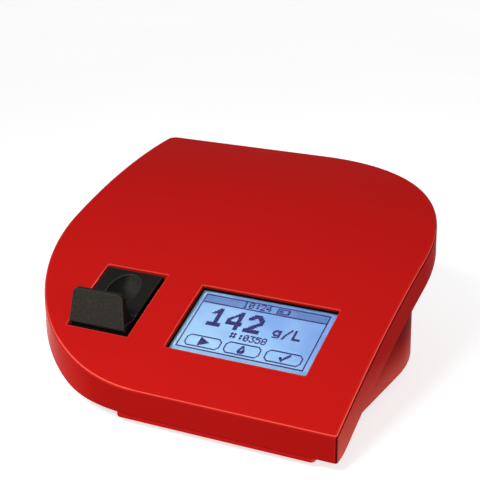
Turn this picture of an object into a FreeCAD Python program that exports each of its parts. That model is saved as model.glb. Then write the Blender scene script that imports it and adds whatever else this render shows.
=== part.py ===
"""Bench-top haemoglobin photometer with a leaf-shaped bent cover and a cuvette drawer.

Millimetres, +Z up, +Y to the back, origin on the table under the centre of the plan.
Each function makes one piece and returns it. main writes one STEP file per piece.
"""
import FreeCAD, Part
import math
import os

V = FreeCAD.Vector

# Overall form
WIDTH = 160.0
DEPTH = 160.0
LEAF_RADIUS = 77.0            # plan radius of the front-left and rear-right corners
REAR_LEFT_RADIUS = 4.0
FRONT_RIGHT_RADIUS = 1.2
FOOT_HEIGHT = 2.5             # the base floor stands this far above the table

# Crown: the bent top surface, two tangent arcs seen from the side
FRONT_EDGE_Z = 15.3
FRONT_SLOPE = 30.8            # degrees at the front edge
FRONT_ARC_RADIUS = 424.0
REAR_ARC_RADIUS = 299.0
ARC_CHANGE_SETBACK = 77.3     # behind the front edge

# Cover
COVER_WALL = 2.2
COVER_EDGE_FILLET = 1.1
RIM_DEPTH = 11.4              # measured square to the crown
RIM_BOTTOM_GAP = 2.4          # front wall's lower edge above the base's underside
RIM_BLEND_RADIUS = 20.0
SMALLEST_CORNER = 0.6         # plan radius left on the tight corners of inner outlines

# Base
BASE_INSET = 9.0
BASE_WALL = 2.2
BASE_FLOOR = 2.4
BASE_TOP_CLEARANCE = 0.4
BASE_EDGE_FILLET = 1.0
BASE_REAR_LEFT_RADIUS = 6.0
BASE_FRONT_RIGHT_RADIUS = 1.0
TOE_SETBACK = 8.7             # the toe starts this far left of the end of the front-left arc
TOE_RECESS = 0.3
TOE_GAP = 0.1
TOE_CORNER_RADIUS = 1.8
TOE_REAR_CORNER = 0.5

# Fastening of the cover to the base
COVER_POST_RADIUS = 4.2
COVER_POST_WEB = 3.0
SCREW_CLEARANCE_RADIUS = 1.7
HEAD_BORE_RADIUS = 3.1
COVER_SCREW_RADIUS = 1.4
COVER_HEAD_RADIUS = 2.8
COVER_HEAD_HEIGHT = 2.0
INSERT_RADIUS = 2.2
INSERT_BORE_RADIUS = 1.45
INSERT_LENGTH = 5.0
INSERT_PRESS = 0.02           # the insert is this much slimmer than its hole
INSERT_RUNOUT = 3.0           # slimmer hole past the insert for the screw's end
BOSS_RADIUS = 3.5
POST_GAP = 0.1
FRONT_POST_INSET = 15.0
MIDDLE_POST_GAP = 5.9         # right of the drawer's opening
MIDDLE_POST_INSET = 18.5
REAR_LEFT_POST_INSET = 17.0
LEFT_POST_INSET = 16.2
LEFT_POST_SETBACK = 3.0       # in front of the end of the front-left arc
ARC_POST_INSET = 15.0         # inside the rear-right arc
ARC_POST_ANGLE = 48.26
FRONT_JOINT_Z = 12.0          # heights of the joints between posts and bosses
MIDDLE_JOINT_Z = 13.0
LEFT_JOINT_Z = 24.0
ARC_JOINT_Z = 34.0
REAR_LEFT_JOINT_Z = 36.0

# Feet
FOOT_RADIUS = 5.0
FOOT_RECESS = 0.8
FOOT_CLEARANCE = 0.1
FOOT_EDGE_FILLET = 0.6
FOOT_RIGHT_INSET = 29.0       # the four places, from the sides and from the ends of the arcs
FOOT_FRONT_INSET = 16.0
FOOT_LEFT_SETBACK = 21.0
FOOT_LEFT_INSET = 23.0
FOOT_REAR_SETBACK = 31.0
FOOT_REAR_INSET = 26.0
FOOT_CORNER_SIDE = 28.0
FOOT_CORNER_END = 19.0

# Display opening and the stack behind it, in the display's own tilted frame
DISPLAY_SETBACK = 34.55       # the frame's origin lies this far behind the front edge
WINDOW_RIGHT_MARGIN = 21.3    # from the cover's right side
WINDOW_BRIDGE = 17.3          # cover left between the drawer's opening and the window
WINDOW_LENGTH = 33.7
WINDOW_CORNER = 0.6
WINDOW_EDGE_FILLET = 0.35
MODULE_LEFT_MARGIN = 7.1      # display board past the window on each side
MODULE_RIGHT_MARGIN = 1.7
MODULE_END_MARGIN = 7.35
MODULE_CORNER = 1.0
POCKET_DEPTH = 2.0            # flat landing for the gasket, below the crown
POCKET_CLEARANCE = 1.0
GASKET_THICKNESS = 0.4
GASKET_GAP = 0.1              # between the gasket's lip and the window's edge
LIP_THICKNESS = 0.4           # the gasket's lip lines the window
LIP_HEIGHT = 0.5
TOUCH_THICKNESS = 0.7
FRAME_SHEET = 0.4
FRAME_REVEAL = 0.6            # the can's opening is this much larger than the window
GLASS_THICKNESS = 2.0
BACKLIGHT_THICKNESS = 3.1
STACK_CLEARANCE = 0.1
BOARD_THICKNESS = 1.6
MODULE_BORDER = 2.4           # the display module reaches this far past the window
TOUCH_BORDER = 1.8
DISPLAY_SCREW_SIDE = 2.6      # from the board's sides and ends
DISPLAY_SCREW_END = 2.4
DISPLAY_BOSS_RADIUS = 2.2
DISPLAY_SCREW_RADIUS = 1.1
DISPLAY_HEAD_RADIUS = 2.0
DISPLAY_HEAD_HEIGHT = 1.4
DISPLAY_SCREW_LENGTH = 6.0
DISPLAY_SCREW_BITE = 5.0      # depth of the screw's hole in the cover's boss

# Drawer opening in the cover
OPENING_LEAF_MARGIN = 5.594   # its front-left corner stays this far inside the front-left arc
OPENING_SETBACK = 20.45       # behind the front edge
OPENING_LENGTH = 31.45
DRAWER_WIDTH = 25.9
OPENING_LEFT_GAP = 0.4
OPENING_RIGHT_GAP = 2.1
EDGE_SEARCH = 2.5             # the openings' edges are looked for this far round them

# Cuvette drawer: it runs level, out over the front edge of its opening
DRAWER_LIFT = 0.35            # drawer's underside above the opening's front edge
DRAWER_TOP_SINK = 0.5         # plate's top below the crown
DRAWER_REAR_GAP = 0.4
DRAWER_EDGE_FILLET = 0.3
UPSTAND_SETBACK = 1.05        # face behind the opening's front edge
UPSTAND_FOOT_HEIGHT = 1.0
UPSTAND_FOOT_SETBACK = 0.9
UPSTAND_HEIGHT = 13.6
UPSTAND_LEAN = 1.74
UPSTAND_TIP = 2.0
UPSTAND_TAPER = 1.46
UPSTAND_CORNER = 2.4
SWEEP_RADIUS = 7.0            # hollow curve from the upstand's back to the plate
SWEEP_START = 0.3             # how the curve leaves the upstand's tip
SWEEP_RISE = 1.0
SCOOP_SETBACK = 20.65         # behind the opening's front edge
SCOOP_HALF_WIDTH = 7.1
SCOOP_HALF_LENGTH = 8.3
SCOOP_DEPTH = 5.0
SCOOP_ROUNDNESS = 6.6
TAIL_THICKNESS = 3.0
TAIL_LENGTH = 42.1            # behind the opening's rear edge
SEAT_WIDTH = 15.6
SEAT_LENGTH = 29.0
SEAT_DEPTH = 1.4
SEAT_CORNER = 2.0
SEAT_SETBACK = 3.1            # behind the opening's rear edge
SEAT_NOTCH_RADIUS = 5.0       # finger notch at the seat's left
SEAT_NOTCH_SETBACK = 9.0
BEAM_SETBACK = 19.1           # the light beam crosses the drawer here
BEAM_HOLE_RADIUS = 2.0
DRAWER_TRAVEL = 34.0
HOOK_OFFSET_X = 7.2
HOOK_WIDTH = 2.0
HOOK_LENGTH = 6.0
HOOK_DROP = 8.0
RUN_CLEARANCE = 0.3
RELIEF_WALL = 2.2             # walls left round the hollow under the drawer's plate
RELIEF_REACH = 6.0            # the hollow starts this far in front of the scoop's middle
RELIEF_DEPTH = 3.0
RELIEF_RIB = 1.4

# Guide that carries the drawer, with shield walls up to the cover
GUIDE_FLOOR = 3.6
GUIDE_WALL = 3.0
GUIDE_OVERRUN = 4.0           # behind the shut drawer's tail
GUIDE_FRONT_STEP = 1.2
GUIDE_STEP_LENGTH = 2.4
GUIDE_STEP_REACH = 9.0
GUIDE_LEDGE_SETBACK = 4.0     # ledge that closes the wide gap right of the drawer
GUIDE_LEDGE_RISE = 1.2
SHIELD_WALL = 1.6
SHIELD_GAP = 0.3
SHIELD_OVERLAP = 1.0          # behind the opening's rear edge
GUIDE_NOTCH = 0.5             # room round the guide where it passes over the base wall
GUIDE_LUG_RADIUS = 4.0
GUIDE_LUG_THICKNESS = 3.0
GUIDE_LUG_REACH = 3.2
GUIDE_LUG_SETBACK = 8.1       # front lugs behind the opening's rear edge
GUIDE_SCREW_RADIUS = 1.2
GUIDE_SCREW_LENGTH = 8.0
GUIDE_SCREW_FLOOR = 4.0       # the lug's hole ends this far above the base floor
SMALL_SCREW_RADIUS = 1.25
SMALL_HEAD_RADIUS = 2.3
SMALL_HEAD_HEIGHT = 1.6

# Leaf spring that rubs on the drawer
SPRING_LENGTH = 14.0
SPRING_SHEET = 0.3
SPRING_BOW = 1.5
SPRING_HEIGHT = 2.4
SPRING_OVERRUN = 1.0          # behind the shut drawer's tail
SPRING_CLEARANCE = 0.3
SPRING_RUB = 0.02
SPRING_LIFT = 0.3

# Light path
OPTIC_HALF_LENGTH = 10.0
OPTIC_HEIGHT = 9.0
OPTIC_FLANGE = 2.4
OPTIC_BLOCK_HALF = 7.0
OPTIC_CORNER = 1.5
OPTIC_SCREW_INSET = 3.5
OPTIC_SCREW_RADIUS = 0.85
OPTIC_SCREW_LENGTH = 6.0
OPTIC_HEAD_RADIUS = 1.7
OPTIC_HEAD_HEIGHT = 1.2
OPTIC_SCREW_HOLE = 0.9
OPTIC_SCREW_CLEARANCE = 1.2
OPTIC_SCREW_BITE = 5.0
LAMP_RADIUS = 2.5
LAMP_CLEARANCE = 0.1
LAMP_RISE = 1.7               # gap between lens and lamp
LENS_RADIUS = 3.0
LENS_THICKNESS = 2.2
LENS_EDGE_SHARE = 0.55
LENS_SEAT = 0.5
LENS_PRESS = 0.02
LED_BOARD_HALF = 8.0
SENSOR_BOARD_DROP = 7.6       # below the guide's floor
SENSOR_BOARD_HALF = 12.5
SENSOR_BOARD_FRONT = 9.0      # in front of the light beam
SENSOR_BOARD_REAR = 4.0       # behind the shut drawer's tail
SENSOR_SCREW_OFFSET = 9.5
SENSOR_SCREW_FRONT = 6.0
SENSOR_SCREW_RADIUS = 0.95
SENSOR_SCREW_LENGTH = 6.0
SENSOR_HEAD_RADIUS = 1.8
SENSOR_HEAD_HEIGHT = 1.2
PILLAR_RADIUS = 2.4
PILLAR_BORE = 1.0
PHOTODIODE_RADIUS = 2.3
PHOTODIODE_CLEARANCE = 0.15
PHOTODIODE_COVER = 1.2        # guide floor left above the photodiode
PHOTODIODE_GAP = 0.2
COLLAR_WALL = 2.0             # collar round the photodiode
COLLAR_DROP = 3.0
PINHOLE_RADIUS = 1.5
FORK_HALF_WIDTH = 4.2
FORK_HALF_LENGTH = 3.5
FORK_SLOT_HALF = 1.6
FORK_FLOOR = 2.2
FORK_TOP_GAP = 0.4

# Battery
CELL_RADIUS = 7.2
CELL_LENGTH = 50.0
CELL_COUNT = 3
SLEEVE_SHARE = 1.7            # height of the sleeve's flats in cell radii
PACK_LIFT = 0.3
WELL_CLEARANCE = 0.6
WELL_WALL = 1.6
WELL_CORNER = 1.0
WELL_ARC_INSET = 13.69        # the well's rear-right corner stays this far inside the cover's arc
WELL_ARC_ANGLE = 38.72
DOOR_THICKNESS = 2.0
DOOR_GAP = 0.3
DOOR_CEILING = 0.1
DOOR_LIP = 1.4
DOOR_CORNER = 2.0
DOOR_SCREW_SETBACK = 3.4
DOOR_SCREW_MARGIN = 4.4
DOOR_SCREW_RADIUS = 1.2
DOOR_SCREW_LENGTH = 5.5
DOOR_HEAD_HEIGHT = 0.9
DOOR_HEAD_SINK = 1.0
DOOR_BOSS_HEIGHT = 5.0
TAB_OFFSET = 13.0
TAB_WIDTH = 7.0
TAB_REACH = 2.6
TAB_ROOT = 0.6
TAB_THICKNESS = 1.2
TAB_GAP = 0.2
TAB_LIFT = 0.1
GRIP_COUNT = 5
GRIP_PITCH = 6.0
GRIP_HALF_WIDTH = 12.0
GRIP_HALF = 1.0
GRIP_DEPTH = 0.6
GRIP_CORNER = 0.9
LEAD_WIRE_RADIUS = 0.6
LEAD_HOLE_RADIUS = 1.8
LEAD_PITCH = 1.4
LEAD_OFFSET = 18.0            # left of the battery's middle
LEAD_HEIGHT = 11.0            # above the base floor
LEAD_BEND = 2.4
PLUG_HALF = 2.6
PLUG_LENGTH = 5.0
PLUG_HEIGHT = 4.4
PLUG_SETBACK = 3.4            # left of the main board's right edge
PLUG_SHARE = 0.565
PLUG_CORNER = 0.5

# Main board
BOARD_SIDE_MARGIN = 14.0      # from the base's left side
BOARD_FRONT_MARGIN = 3.0      # behind the guide
BOARD_REAR_MARGIN = 5.0
BOARD_WELL_GAP = 1.2          # left of the battery's well
BOARD_CORNER = 1.5
BOARD_STANDOFF = 7.1
STANDOFF_RADIUS = 3.0
BOARD_SCREW_INSET = 3.6
BOARD_SCREW_RADIUS = 1.2
BOARD_SCREW_LENGTH = 7.0
RIBBON_WIDTH = 8.0
RIBBON_THICKNESS = 0.3
RIBBON_BEND = 5.0
RIBBON_BEND_SHARE = 0.55
RIBBON_INSET = 6.2            # left of the main board's right edge
RIBBON_SOCKET_HALF = 5.0
RIBBON_SOCKET_DEPTH = 2.0
RIBBON_SOCKET_HEIGHT = 3.0
RIBBON_MAIN_SHARE = 0.2
RIBBON_DISPLAY_Y = 8.0        # up the display from its middle
CHIPS = {                     # left, right, front and rear as shares of the board, and height
    "processor": (0.300, 0.480, 0.31, 0.55, 1.6),
    "regulator": (0.545, 0.625, 0.13, 0.29, 1.5),
    "inductor": (0.200, 0.275, 0.33, 0.46, 3.2),
}
CAPACITOR_SHARE = (0.38, 0.16)
CAPACITOR_RADIUS = 3.0
CAPACITOR_HEIGHT = 7.0
COIN_SHARE = (0.675, 0.55)
COIN_RADIUS = 6.25
COIN_HOLDER_RADIUS = 8.2
COIN_CLEARANCE = 0.15
COIN_FLOOR = 1.0
COIN_HOLDER_HEIGHT = 3.4
COIN_THICKNESS = 2.6
BUZZER_SHARE = (0.107, 0.38)
BUZZER_RADIUS = 5.0
BUZZER_HEIGHT = 6.5
BUZZER_HOLE_RADIUS = 1.0
BUZZER_HOLE_DEPTH = 1.5

# Rear sockets and power switch
SOCKET_HEIGHT_Z = 21.0
SWITCH_RAISE = 8.0            # the switch sits this much higher than the sockets
POWER_SOCKET_SHARE = 0.2145   # across the main board
USB_SHARE = 0.462
SWITCH_SHARE = 0.7426
SOCKET_NOSE_RADIUS = 3.95
SOCKET_NOSE_GAP = 0.15
SOCKET_NOSE_SETBACK = 1.2
SOCKET_HALF_WIDTH = 4.5
SOCKET_TOP = 5.0
SOCKET_LENGTH = 12.0
SOCKET_WALL_GAP = 0.4
SOCKET_CORNER = 0.6
SOCKET_BORE_RADIUS = 2.85
SOCKET_BORE_DEPTH = 9.0
SOCKET_PIN_RADIUS = 1.05
SOCKET_PIN_LENGTH = 8.6
USB_HALF_WIDTH = 6.0
USB_HALF_HEIGHT = 5.5
USB_WINDOW_GAP = 0.3
USB_LENGTH = 17.0
USB_FOOT_LENGTH = 10.0
USB_SETBACK = 0.3
USB_CORNER = 0.3
USB_MOUTH_HALF_WIDTH = 4.25
USB_MOUTH_HALF_HEIGHT = 3.9
USB_MOUTH_DEPTH = 9.3
USB_MOUTH_CHAMFER = 1.8
USB_TONGUE_HALF_WIDTH = 2.8
USB_TONGUE_LENGTH = 8.0
USB_TONGUE_HEIGHT = 3.1
USB_TONGUE_DROP = 1.5
SWITCH_FLANGE_WIDTH = 15.0
SWITCH_FLANGE_HEIGHT = 21.0
SWITCH_BODY_WIDTH = 12.8
SWITCH_BODY_HEIGHT = 19.0
SWITCH_BODY_DEPTH = 13.0
SWITCH_CLEARANCE = 0.1
SWITCH_FLANGE = 1.6
SWITCH_FLANGE_FILLET = 0.8
ROCKER_WIDTH = 8.6
ROCKER_HEIGHT = 14.0
ROCKER_GAP = 0.4
ROCKER_SWING_GAP = 0.6
ROCKER_WELL_DEPTH = 8.0
ROCKER_TILT = 8.0
ROCKER_PIVOT_DEPTH = 1.6
ROCKER_FACE = 4.2             # face in front of the pivot
ROCKER_HOLLOW = 1.1
ROCKER_SHOULDER = 0.6
ROCKER_KEEL = 3.0
ROCKER_PIN_RADIUS = 1.2
ROCKER_PIN_REACH = 1.5
ROCKER_PIN_CLEARANCE = 0.05

# Values worked out from the sizes above
HALF_W = WIDTH / 2
HALF_D = DEPTH / 2
FRONT_Y = -HALF_D
ARC_CHANGE_Y = FRONT_Y + ARC_CHANGE_SETBACK
BASE_BOTTOM = FOOT_HEIGHT
FLOOR_TOP = BASE_BOTTOM + BASE_FLOOR
RIM_BOTTOM = BASE_BOTTOM + RIM_BOTTOM_GAP
BASE_HALF_W = HALF_W - BASE_INSET
BASE_HALF_D = HALF_D - BASE_INSET
REAR_WALL_Y = BASE_HALF_D
FRONT_ARC_CENTRE = (LEAF_RADIUS - HALF_W, LEAF_RADIUS - HALF_D)
REAR_ARC_CENTRE = (HALF_W - LEAF_RADIUS, HALF_D - LEAF_RADIUS)
TOE_LEFT_X = FRONT_ARC_CENTRE[0] - TOE_SETBACK
OPENING_FRONT_Y = FRONT_Y + OPENING_SETBACK
OPENING_REAR_Y = OPENING_FRONT_Y + OPENING_LENGTH
OPENING_LEFT = FRONT_ARC_CENTRE[0] - math.sqrt((LEAF_RADIUS - OPENING_LEAF_MARGIN) ** 2
                                               - (OPENING_FRONT_Y - FRONT_ARC_CENTRE[1]) ** 2)
DRAWER_LEFT = OPENING_LEFT + OPENING_LEFT_GAP
DRAWER_RIGHT = DRAWER_LEFT + DRAWER_WIDTH
DRAWER_X = (DRAWER_LEFT + DRAWER_RIGHT) / 2
OPENING_RIGHT = DRAWER_RIGHT + OPENING_RIGHT_GAP
UPSTAND_FACE_Y = OPENING_FRONT_Y + UPSTAND_SETBACK
SCOOP_Y = OPENING_FRONT_Y + SCOOP_SETBACK
TAIL_REAR_Y = OPENING_REAR_Y + TAIL_LENGTH
SEAT_FRONT_Y = OPENING_REAR_Y + SEAT_SETBACK
BEAM_Y = OPENING_REAR_Y + BEAM_SETBACK
HOOK_X = DRAWER_X + HOOK_OFFSET_X
GUIDE_REAR_Y = TAIL_REAR_Y + GUIDE_OVERRUN
SPRING_REAR_Y = TAIL_REAR_Y + SPRING_OVERRUN
DISPLAY_Y = FRONT_Y + DISPLAY_SETBACK
WINDOW_LEFT = OPENING_RIGHT + WINDOW_BRIDGE
WINDOW_RIGHT = HALF_W - WINDOW_RIGHT_MARGIN
MODULE_LEFT = WINDOW_LEFT - MODULE_LEFT_MARGIN
MODULE_RIGHT = WINDOW_RIGHT + MODULE_RIGHT_MARGIN
MODULE_HALF_LENGTH = WINDOW_LENGTH / 2 + MODULE_END_MARGIN
WELL_HALF_W = CELL_COUNT * CELL_RADIUS + WELL_CLEARANCE
WELL_HALF_L = CELL_LENGTH / 2 + WELL_CLEARANCE
WELL_CORNER_ARC = LEAF_RADIUS - WELL_ARC_INSET
BATTERY_X = (REAR_ARC_CENTRE[0] + WELL_CORNER_ARC * math.cos(math.radians(WELL_ARC_ANGLE))
             - WELL_HALF_W - WELL_WALL)
BATTERY_Y = (REAR_ARC_CENTRE[1] + WELL_CORNER_ARC * math.sin(math.radians(WELL_ARC_ANGLE))
             - WELL_HALF_L - WELL_WALL)
BOARD_LEFT_X = BOARD_SIDE_MARGIN - BASE_HALF_W
BOARD_RIGHT_X = BATTERY_X - WELL_HALF_W - WELL_WALL - BOARD_WELL_GAP
BOARD_FRONT_Y = GUIDE_REAR_Y + BOARD_FRONT_MARGIN
BOARD_REAR_Y = REAR_WALL_Y - BOARD_REAR_MARGIN
BOARD_WIDTH = BOARD_RIGHT_X - BOARD_LEFT_X
BOARD_LENGTH = BOARD_REAR_Y - BOARD_FRONT_Y
RIBBON_X = BOARD_RIGHT_X - RIBBON_INSET
POWER_SOCKET_X = BOARD_LEFT_X + POWER_SOCKET_SHARE * BOARD_WIDTH
USB_X = BOARD_LEFT_X + USB_SHARE * BOARD_WIDTH
SWITCH_X = BOARD_LEFT_X + SWITCH_SHARE * BOARD_WIDTH
FOOT_PLACES = [
    (HALF_W - FOOT_RIGHT_INSET, FRONT_Y + FOOT_FRONT_INSET),
    (FRONT_ARC_CENTRE[0] - FOOT_LEFT_SETBACK, FRONT_Y + FOOT_LEFT_INSET),
    (REAR_ARC_CENTRE[0] + FOOT_REAR_SETBACK, HALF_D - FOOT_REAR_INSET),
    (FOOT_CORNER_SIDE - HALF_W, HALF_D - FOOT_CORNER_END),
]


def crown_centres():
    """Centres of the two arcs and the slope where they meet."""
    slope = math.radians(FRONT_SLOPE)
    front = (FRONT_ARC_RADIUS * math.sin(slope) - HALF_D,
             FRONT_EDGE_Z - FRONT_ARC_RADIUS * math.cos(slope))
    change = math.asin((front[0] - ARC_CHANGE_Y) / FRONT_ARC_RADIUS)
    shift = FRONT_ARC_RADIUS - REAR_ARC_RADIUS
    rear = (front[0] - shift * math.sin(change), front[1] + shift * math.cos(change))
    return front, rear, change


def crown_at(y, offset=0.0):
    """Height and slope (radians) of the crown at y, or of a surface that far below it."""
    front, rear, change = crown_centres()
    front_radius = FRONT_ARC_RADIUS - offset
    change_y = front[0] - front_radius * math.sin(change)
    centre, radius = (front, front_radius)
    if y > change_y:
        centre, radius = (rear, REAR_ARC_RADIUS - offset)
    slope = math.asin((centre[0] - y) / radius)
    return centre[1] + radius * math.cos(slope), slope


def under_crown(offset):
    """Everything below a surface that lies the offset below the crown."""
    front, rear, change = crown_centres()
    front_radius = FRONT_ARC_RADIUS - offset
    rear_radius = REAR_ARC_RADIUS - offset
    spare = math.radians(6.0)
    start = math.radians(FRONT_SLOPE) + spare
    end = crown_at(HALF_D)[1] - spare
    side = -WIDTH

    def point(centre, radius, slope):
        return V(side, centre[0] - radius * math.sin(slope), centre[1] + radius * math.cos(slope))

    first = point(front, front_radius, start)
    middle = point(front, front_radius, change)
    last = point(rear, rear_radius, end)
    depth = V(0, 0, -DEPTH)
    edges = [
        Part.Arc(first, point(front, front_radius, (start + change) / 2), middle).toShape(),
        Part.Arc(middle, point(rear, rear_radius, (change + end) / 2), last).toShape(),
        Part.LineSegment(last, last + depth).toShape(),
        Part.LineSegment(last + depth, first + depth).toShape(),
        Part.LineSegment(first + depth, first).toShape(),
    ]
    return Part.Face(Part.Wire(edges)).extrude(V(2 * WIDTH, 0, 0))


def slab(x0, x1, y0, y1, z0, z1, corners=0.0):
    """Upright block. corners is one radius, or four: front-left, front-right, rear-right, rear-left."""
    if not isinstance(corners, (tuple, list)):
        corners = (corners,) * 4
    if max(corners) <= 0:
        return Part.makeBox(x1 - x0, y1 - y0, z1 - z0, V(x0, y0, z0))
    places = [(x0, y0, 180, 270), (x1, y0, 270, 360), (x1, y1, 0, 90), (x0, y1, 90, 180)]
    arcs = []
    for (x, y, a0, a1), radius in zip(places, corners):
        centre = V(x + (radius if x == x0 else -radius), y + (radius if y == y0 else -radius), z0)
        arcs.append(Part.makeCircle(radius, centre, V(0, 0, 1), a0, a1))
    edges = []
    for here, after in zip(arcs, arcs[1:] + arcs[:1]):
        edges.append(here)
        edges.append(Part.makeLine(here.Vertexes[-1].Point, after.Vertexes[0].Point))
    return Part.Face(Part.Wire(edges)).extrude(V(0, 0, z1 - z0))


def rod(radius, x, y, z0, z1):
    """Upright cylinder from z0 to z1."""
    return Part.makeCylinder(radius, z1 - z0, V(x, y, z0))


def plan_prism(inset, z0, z1):
    """The leaf-shaped plan of the cover, drawn in by the inset, as a prism."""
    radius = LEAF_RADIUS - inset
    front_right = max(FRONT_RIGHT_RADIUS - inset, SMALLEST_CORNER)
    rear_left = max(REAR_LEFT_RADIUS - inset, SMALLEST_CORNER)
    return slab(inset - HALF_W, HALF_W - inset, inset - HALF_D, HALF_D - inset, z0, z1,
                (radius, front_right, radius, rear_left))


def base_prism(shrink, z0, z1):
    """The base's plan, which follows the cover's, drawn in by a further amount."""
    radius = LEAF_RADIUS - BASE_INSET - shrink
    front_right = max(BASE_FRONT_RIGHT_RADIUS - shrink, SMALLEST_CORNER)
    rear_left = max(BASE_REAR_LEFT_RADIUS - shrink, SMALLEST_CORNER)
    return slab(shrink - BASE_HALF_W, BASE_HALF_W - shrink, shrink - BASE_HALF_D, BASE_HALF_D - shrink,
                z0, z1, (radius, front_right, radius, rear_left))


def crown_edges(solid, offset):
    """Edges that bound the crown on its outside."""
    found = []
    for edge in solid.Edges:
        points = edge.discretize(7)
        on_crown = all(abs(p.z - crown_at(p.y, offset)[0]) < 0.01 for p in points)
        across = all(abs(p.y - ARC_CHANGE_Y) < 0.5 for p in points)
        if on_crown and not across:
            found.append(edge)
    return found


def cover_posts():
    """x, y and joint height of each post that carries the cover."""
    angle = math.radians(ARC_POST_ANGLE)
    reach = LEAF_RADIUS - ARC_POST_INSET
    return [
        (HALF_W - FRONT_POST_INSET, FRONT_Y + FRONT_POST_INSET, FRONT_JOINT_Z),
        (OPENING_RIGHT + MIDDLE_POST_GAP, FRONT_Y + MIDDLE_POST_INSET, MIDDLE_JOINT_Z),
        (REAR_ARC_CENTRE[0] + reach * math.cos(angle), REAR_ARC_CENTRE[1] + reach * math.sin(angle),
         ARC_JOINT_Z),
        (REAR_LEFT_POST_INSET - HALF_W, HALF_D - REAR_LEFT_POST_INSET, REAR_LEFT_JOINT_Z),
        (LEFT_POST_INSET - HALF_W, FRONT_ARC_CENTRE[1] - LEFT_POST_SETBACK, LEFT_JOINT_Z),
    ]


def display_place():
    """Frame on the crown: x to the right, y up the slope, z out of the cover."""
    height, slope = crown_at(DISPLAY_Y)
    return FreeCAD.Placement(V(0, DISPLAY_Y, height), FreeCAD.Rotation(V(1, 0, 0), math.degrees(slope)))


def on_display(shape):
    return shape.transformed(display_place().toMatrix(), True)


def display_levels():
    """Top face of each layer behind the window, measured down from the crown."""
    gasket = -POCKET_DEPTH
    touch = gasket - GASKET_THICKNESS
    frame = touch - TOUCH_THICKNESS
    glass = frame - FRAME_SHEET
    backlight = glass - GLASS_THICKNESS
    board = backlight - BACKLIGHT_THICKNESS - FRAME_SHEET
    return {"gasket": gasket, "touch": touch, "frame": frame, "glass": glass,
            "backlight": backlight, "board": board}


def display_screw_places():
    end = MODULE_HALF_LENGTH - DISPLAY_SCREW_END
    return [(x, y) for x in (MODULE_LEFT + DISPLAY_SCREW_SIDE, MODULE_RIGHT - DISPLAY_SCREW_SIDE)
            for y in (-end, end)]


def window_block(grow, z0, z1):
    """Block the size of the display window, in the display's frame."""
    half_l = WINDOW_LENGTH / 2 + grow
    return slab(WINDOW_LEFT - grow, WINDOW_RIGHT + grow, -half_l, half_l, z0, z1, WINDOW_CORNER)


def module_block(grow, z0, z1):
    half_l = MODULE_HALF_LENGTH + grow
    return slab(MODULE_LEFT - grow, MODULE_RIGHT + grow, -half_l, half_l, z0, z1, MODULE_CORNER)


def rim_cutter():
    """What lies below the cover's rim: level at the front, then parallel to the crown."""
    level = Part.makeBox(2 * WIDTH, 2 * DEPTH, DEPTH, V(-WIDTH, -DEPTH, RIM_BOTTOM - DEPTH))
    tool = under_crown(RIM_DEPTH).fuse(level).removeSplitter()
    corner = []
    for edge in tool.Edges:
        points = edge.discretize(3)
        level_edge = all(abs(p.z - RIM_BOTTOM) < 0.01 for p in points)
        inside = all(abs(p.y) < HALF_D for p in points)
        if level_edge and inside:
            corner.append(edge)
    return tool.makeFillet(RIM_BLEND_RADIUS, corner)


def top_cover():
    outer = plan_prism(0.0, 0.0, DEPTH).common(under_crown(0.0))
    outer = outer.makeFillet(COVER_EDGE_FILLET, crown_edges(outer, 0.0))
    outer = outer.cut(rim_cutter())
    hollow = plan_prism(COVER_WALL, -1.0, DEPTH).common(under_crown(COVER_WALL))
    cover = outer.cut(hollow)
    levels = display_levels()
    for x, y, joint in cover_posts():
        cover = cover.fuse(rod(BOSS_RADIUS, x, y, joint, DEPTH).common(under_crown(COVER_WALL / 2)))
    for x, y in display_screw_places():
        cover = cover.fuse(on_display(rod(DISPLAY_BOSS_RADIUS, x, y, levels["board"], -POCKET_DEPTH / 2)))
    cover = cover.cut(on_display(window_block(0.0, -DEPTH, DEPTH)))
    pocket = on_display(module_block(POCKET_CLEARANCE, levels["board"], levels["gasket"]))
    for x, y in display_screw_places():
        pocket = pocket.cut(on_display(rod(DISPLAY_BOSS_RADIUS, x, y, levels["board"], 0.0)))
    cover = cover.cut(pocket.common(under_crown(0.0)))
    cover = cover.cut(slab(OPENING_LEFT, OPENING_RIGHT, OPENING_FRONT_Y, OPENING_REAR_Y, 0.0, DEPTH))
    for x, y, joint in cover_posts():
        end = joint + INSERT_LENGTH
        cover = cover.cut(rod(INSERT_RADIUS, x, y, joint, end))
        cover = cover.cut(rod(INSERT_BORE_RADIUS, x, y, joint, end + INSERT_RUNOUT)
                          .common(under_crown(COVER_WALL)))
    for x, y in display_screw_places():
        cover = cover.cut(on_display(rod(DISPLAY_SCREW_RADIUS, x, y, levels["board"] - 1.0,
                                         levels["board"] + DISPLAY_SCREW_BITE)))
    cover = cover.removeSplitter()
    rims = [edge for edge in crown_edges(cover, 0.0) if opening_edge(edge)]
    return cover.makeFillet(WINDOW_EDGE_FILLET, rims)


def opening_edge(edge):
    """True for the crown's edges round the display window and the drawer opening."""
    front = OPENING_FRONT_Y - EDGE_SEARCH
    rear = OPENING_REAR_Y + EDGE_SEARCH
    return all(OPENING_LEFT - EDGE_SEARCH < p.x < WINDOW_RIGHT + EDGE_SEARCH and front < p.y < rear
               for p in edge.discretize(5))


def well_box(grow, z0, z1):
    """The battery's space, grown on all four sides."""
    half_w = WELL_HALF_W + grow
    half_l = WELL_HALF_L + grow
    return slab(BATTERY_X - half_w, BATTERY_X + half_w, BATTERY_Y - half_l, BATTERY_Y + half_l,
                z0, z1, WELL_CORNER + grow)


def well_top():
    return FLOOR_TOP + 2 * CELL_RADIUS + WELL_CLEARANCE


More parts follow.
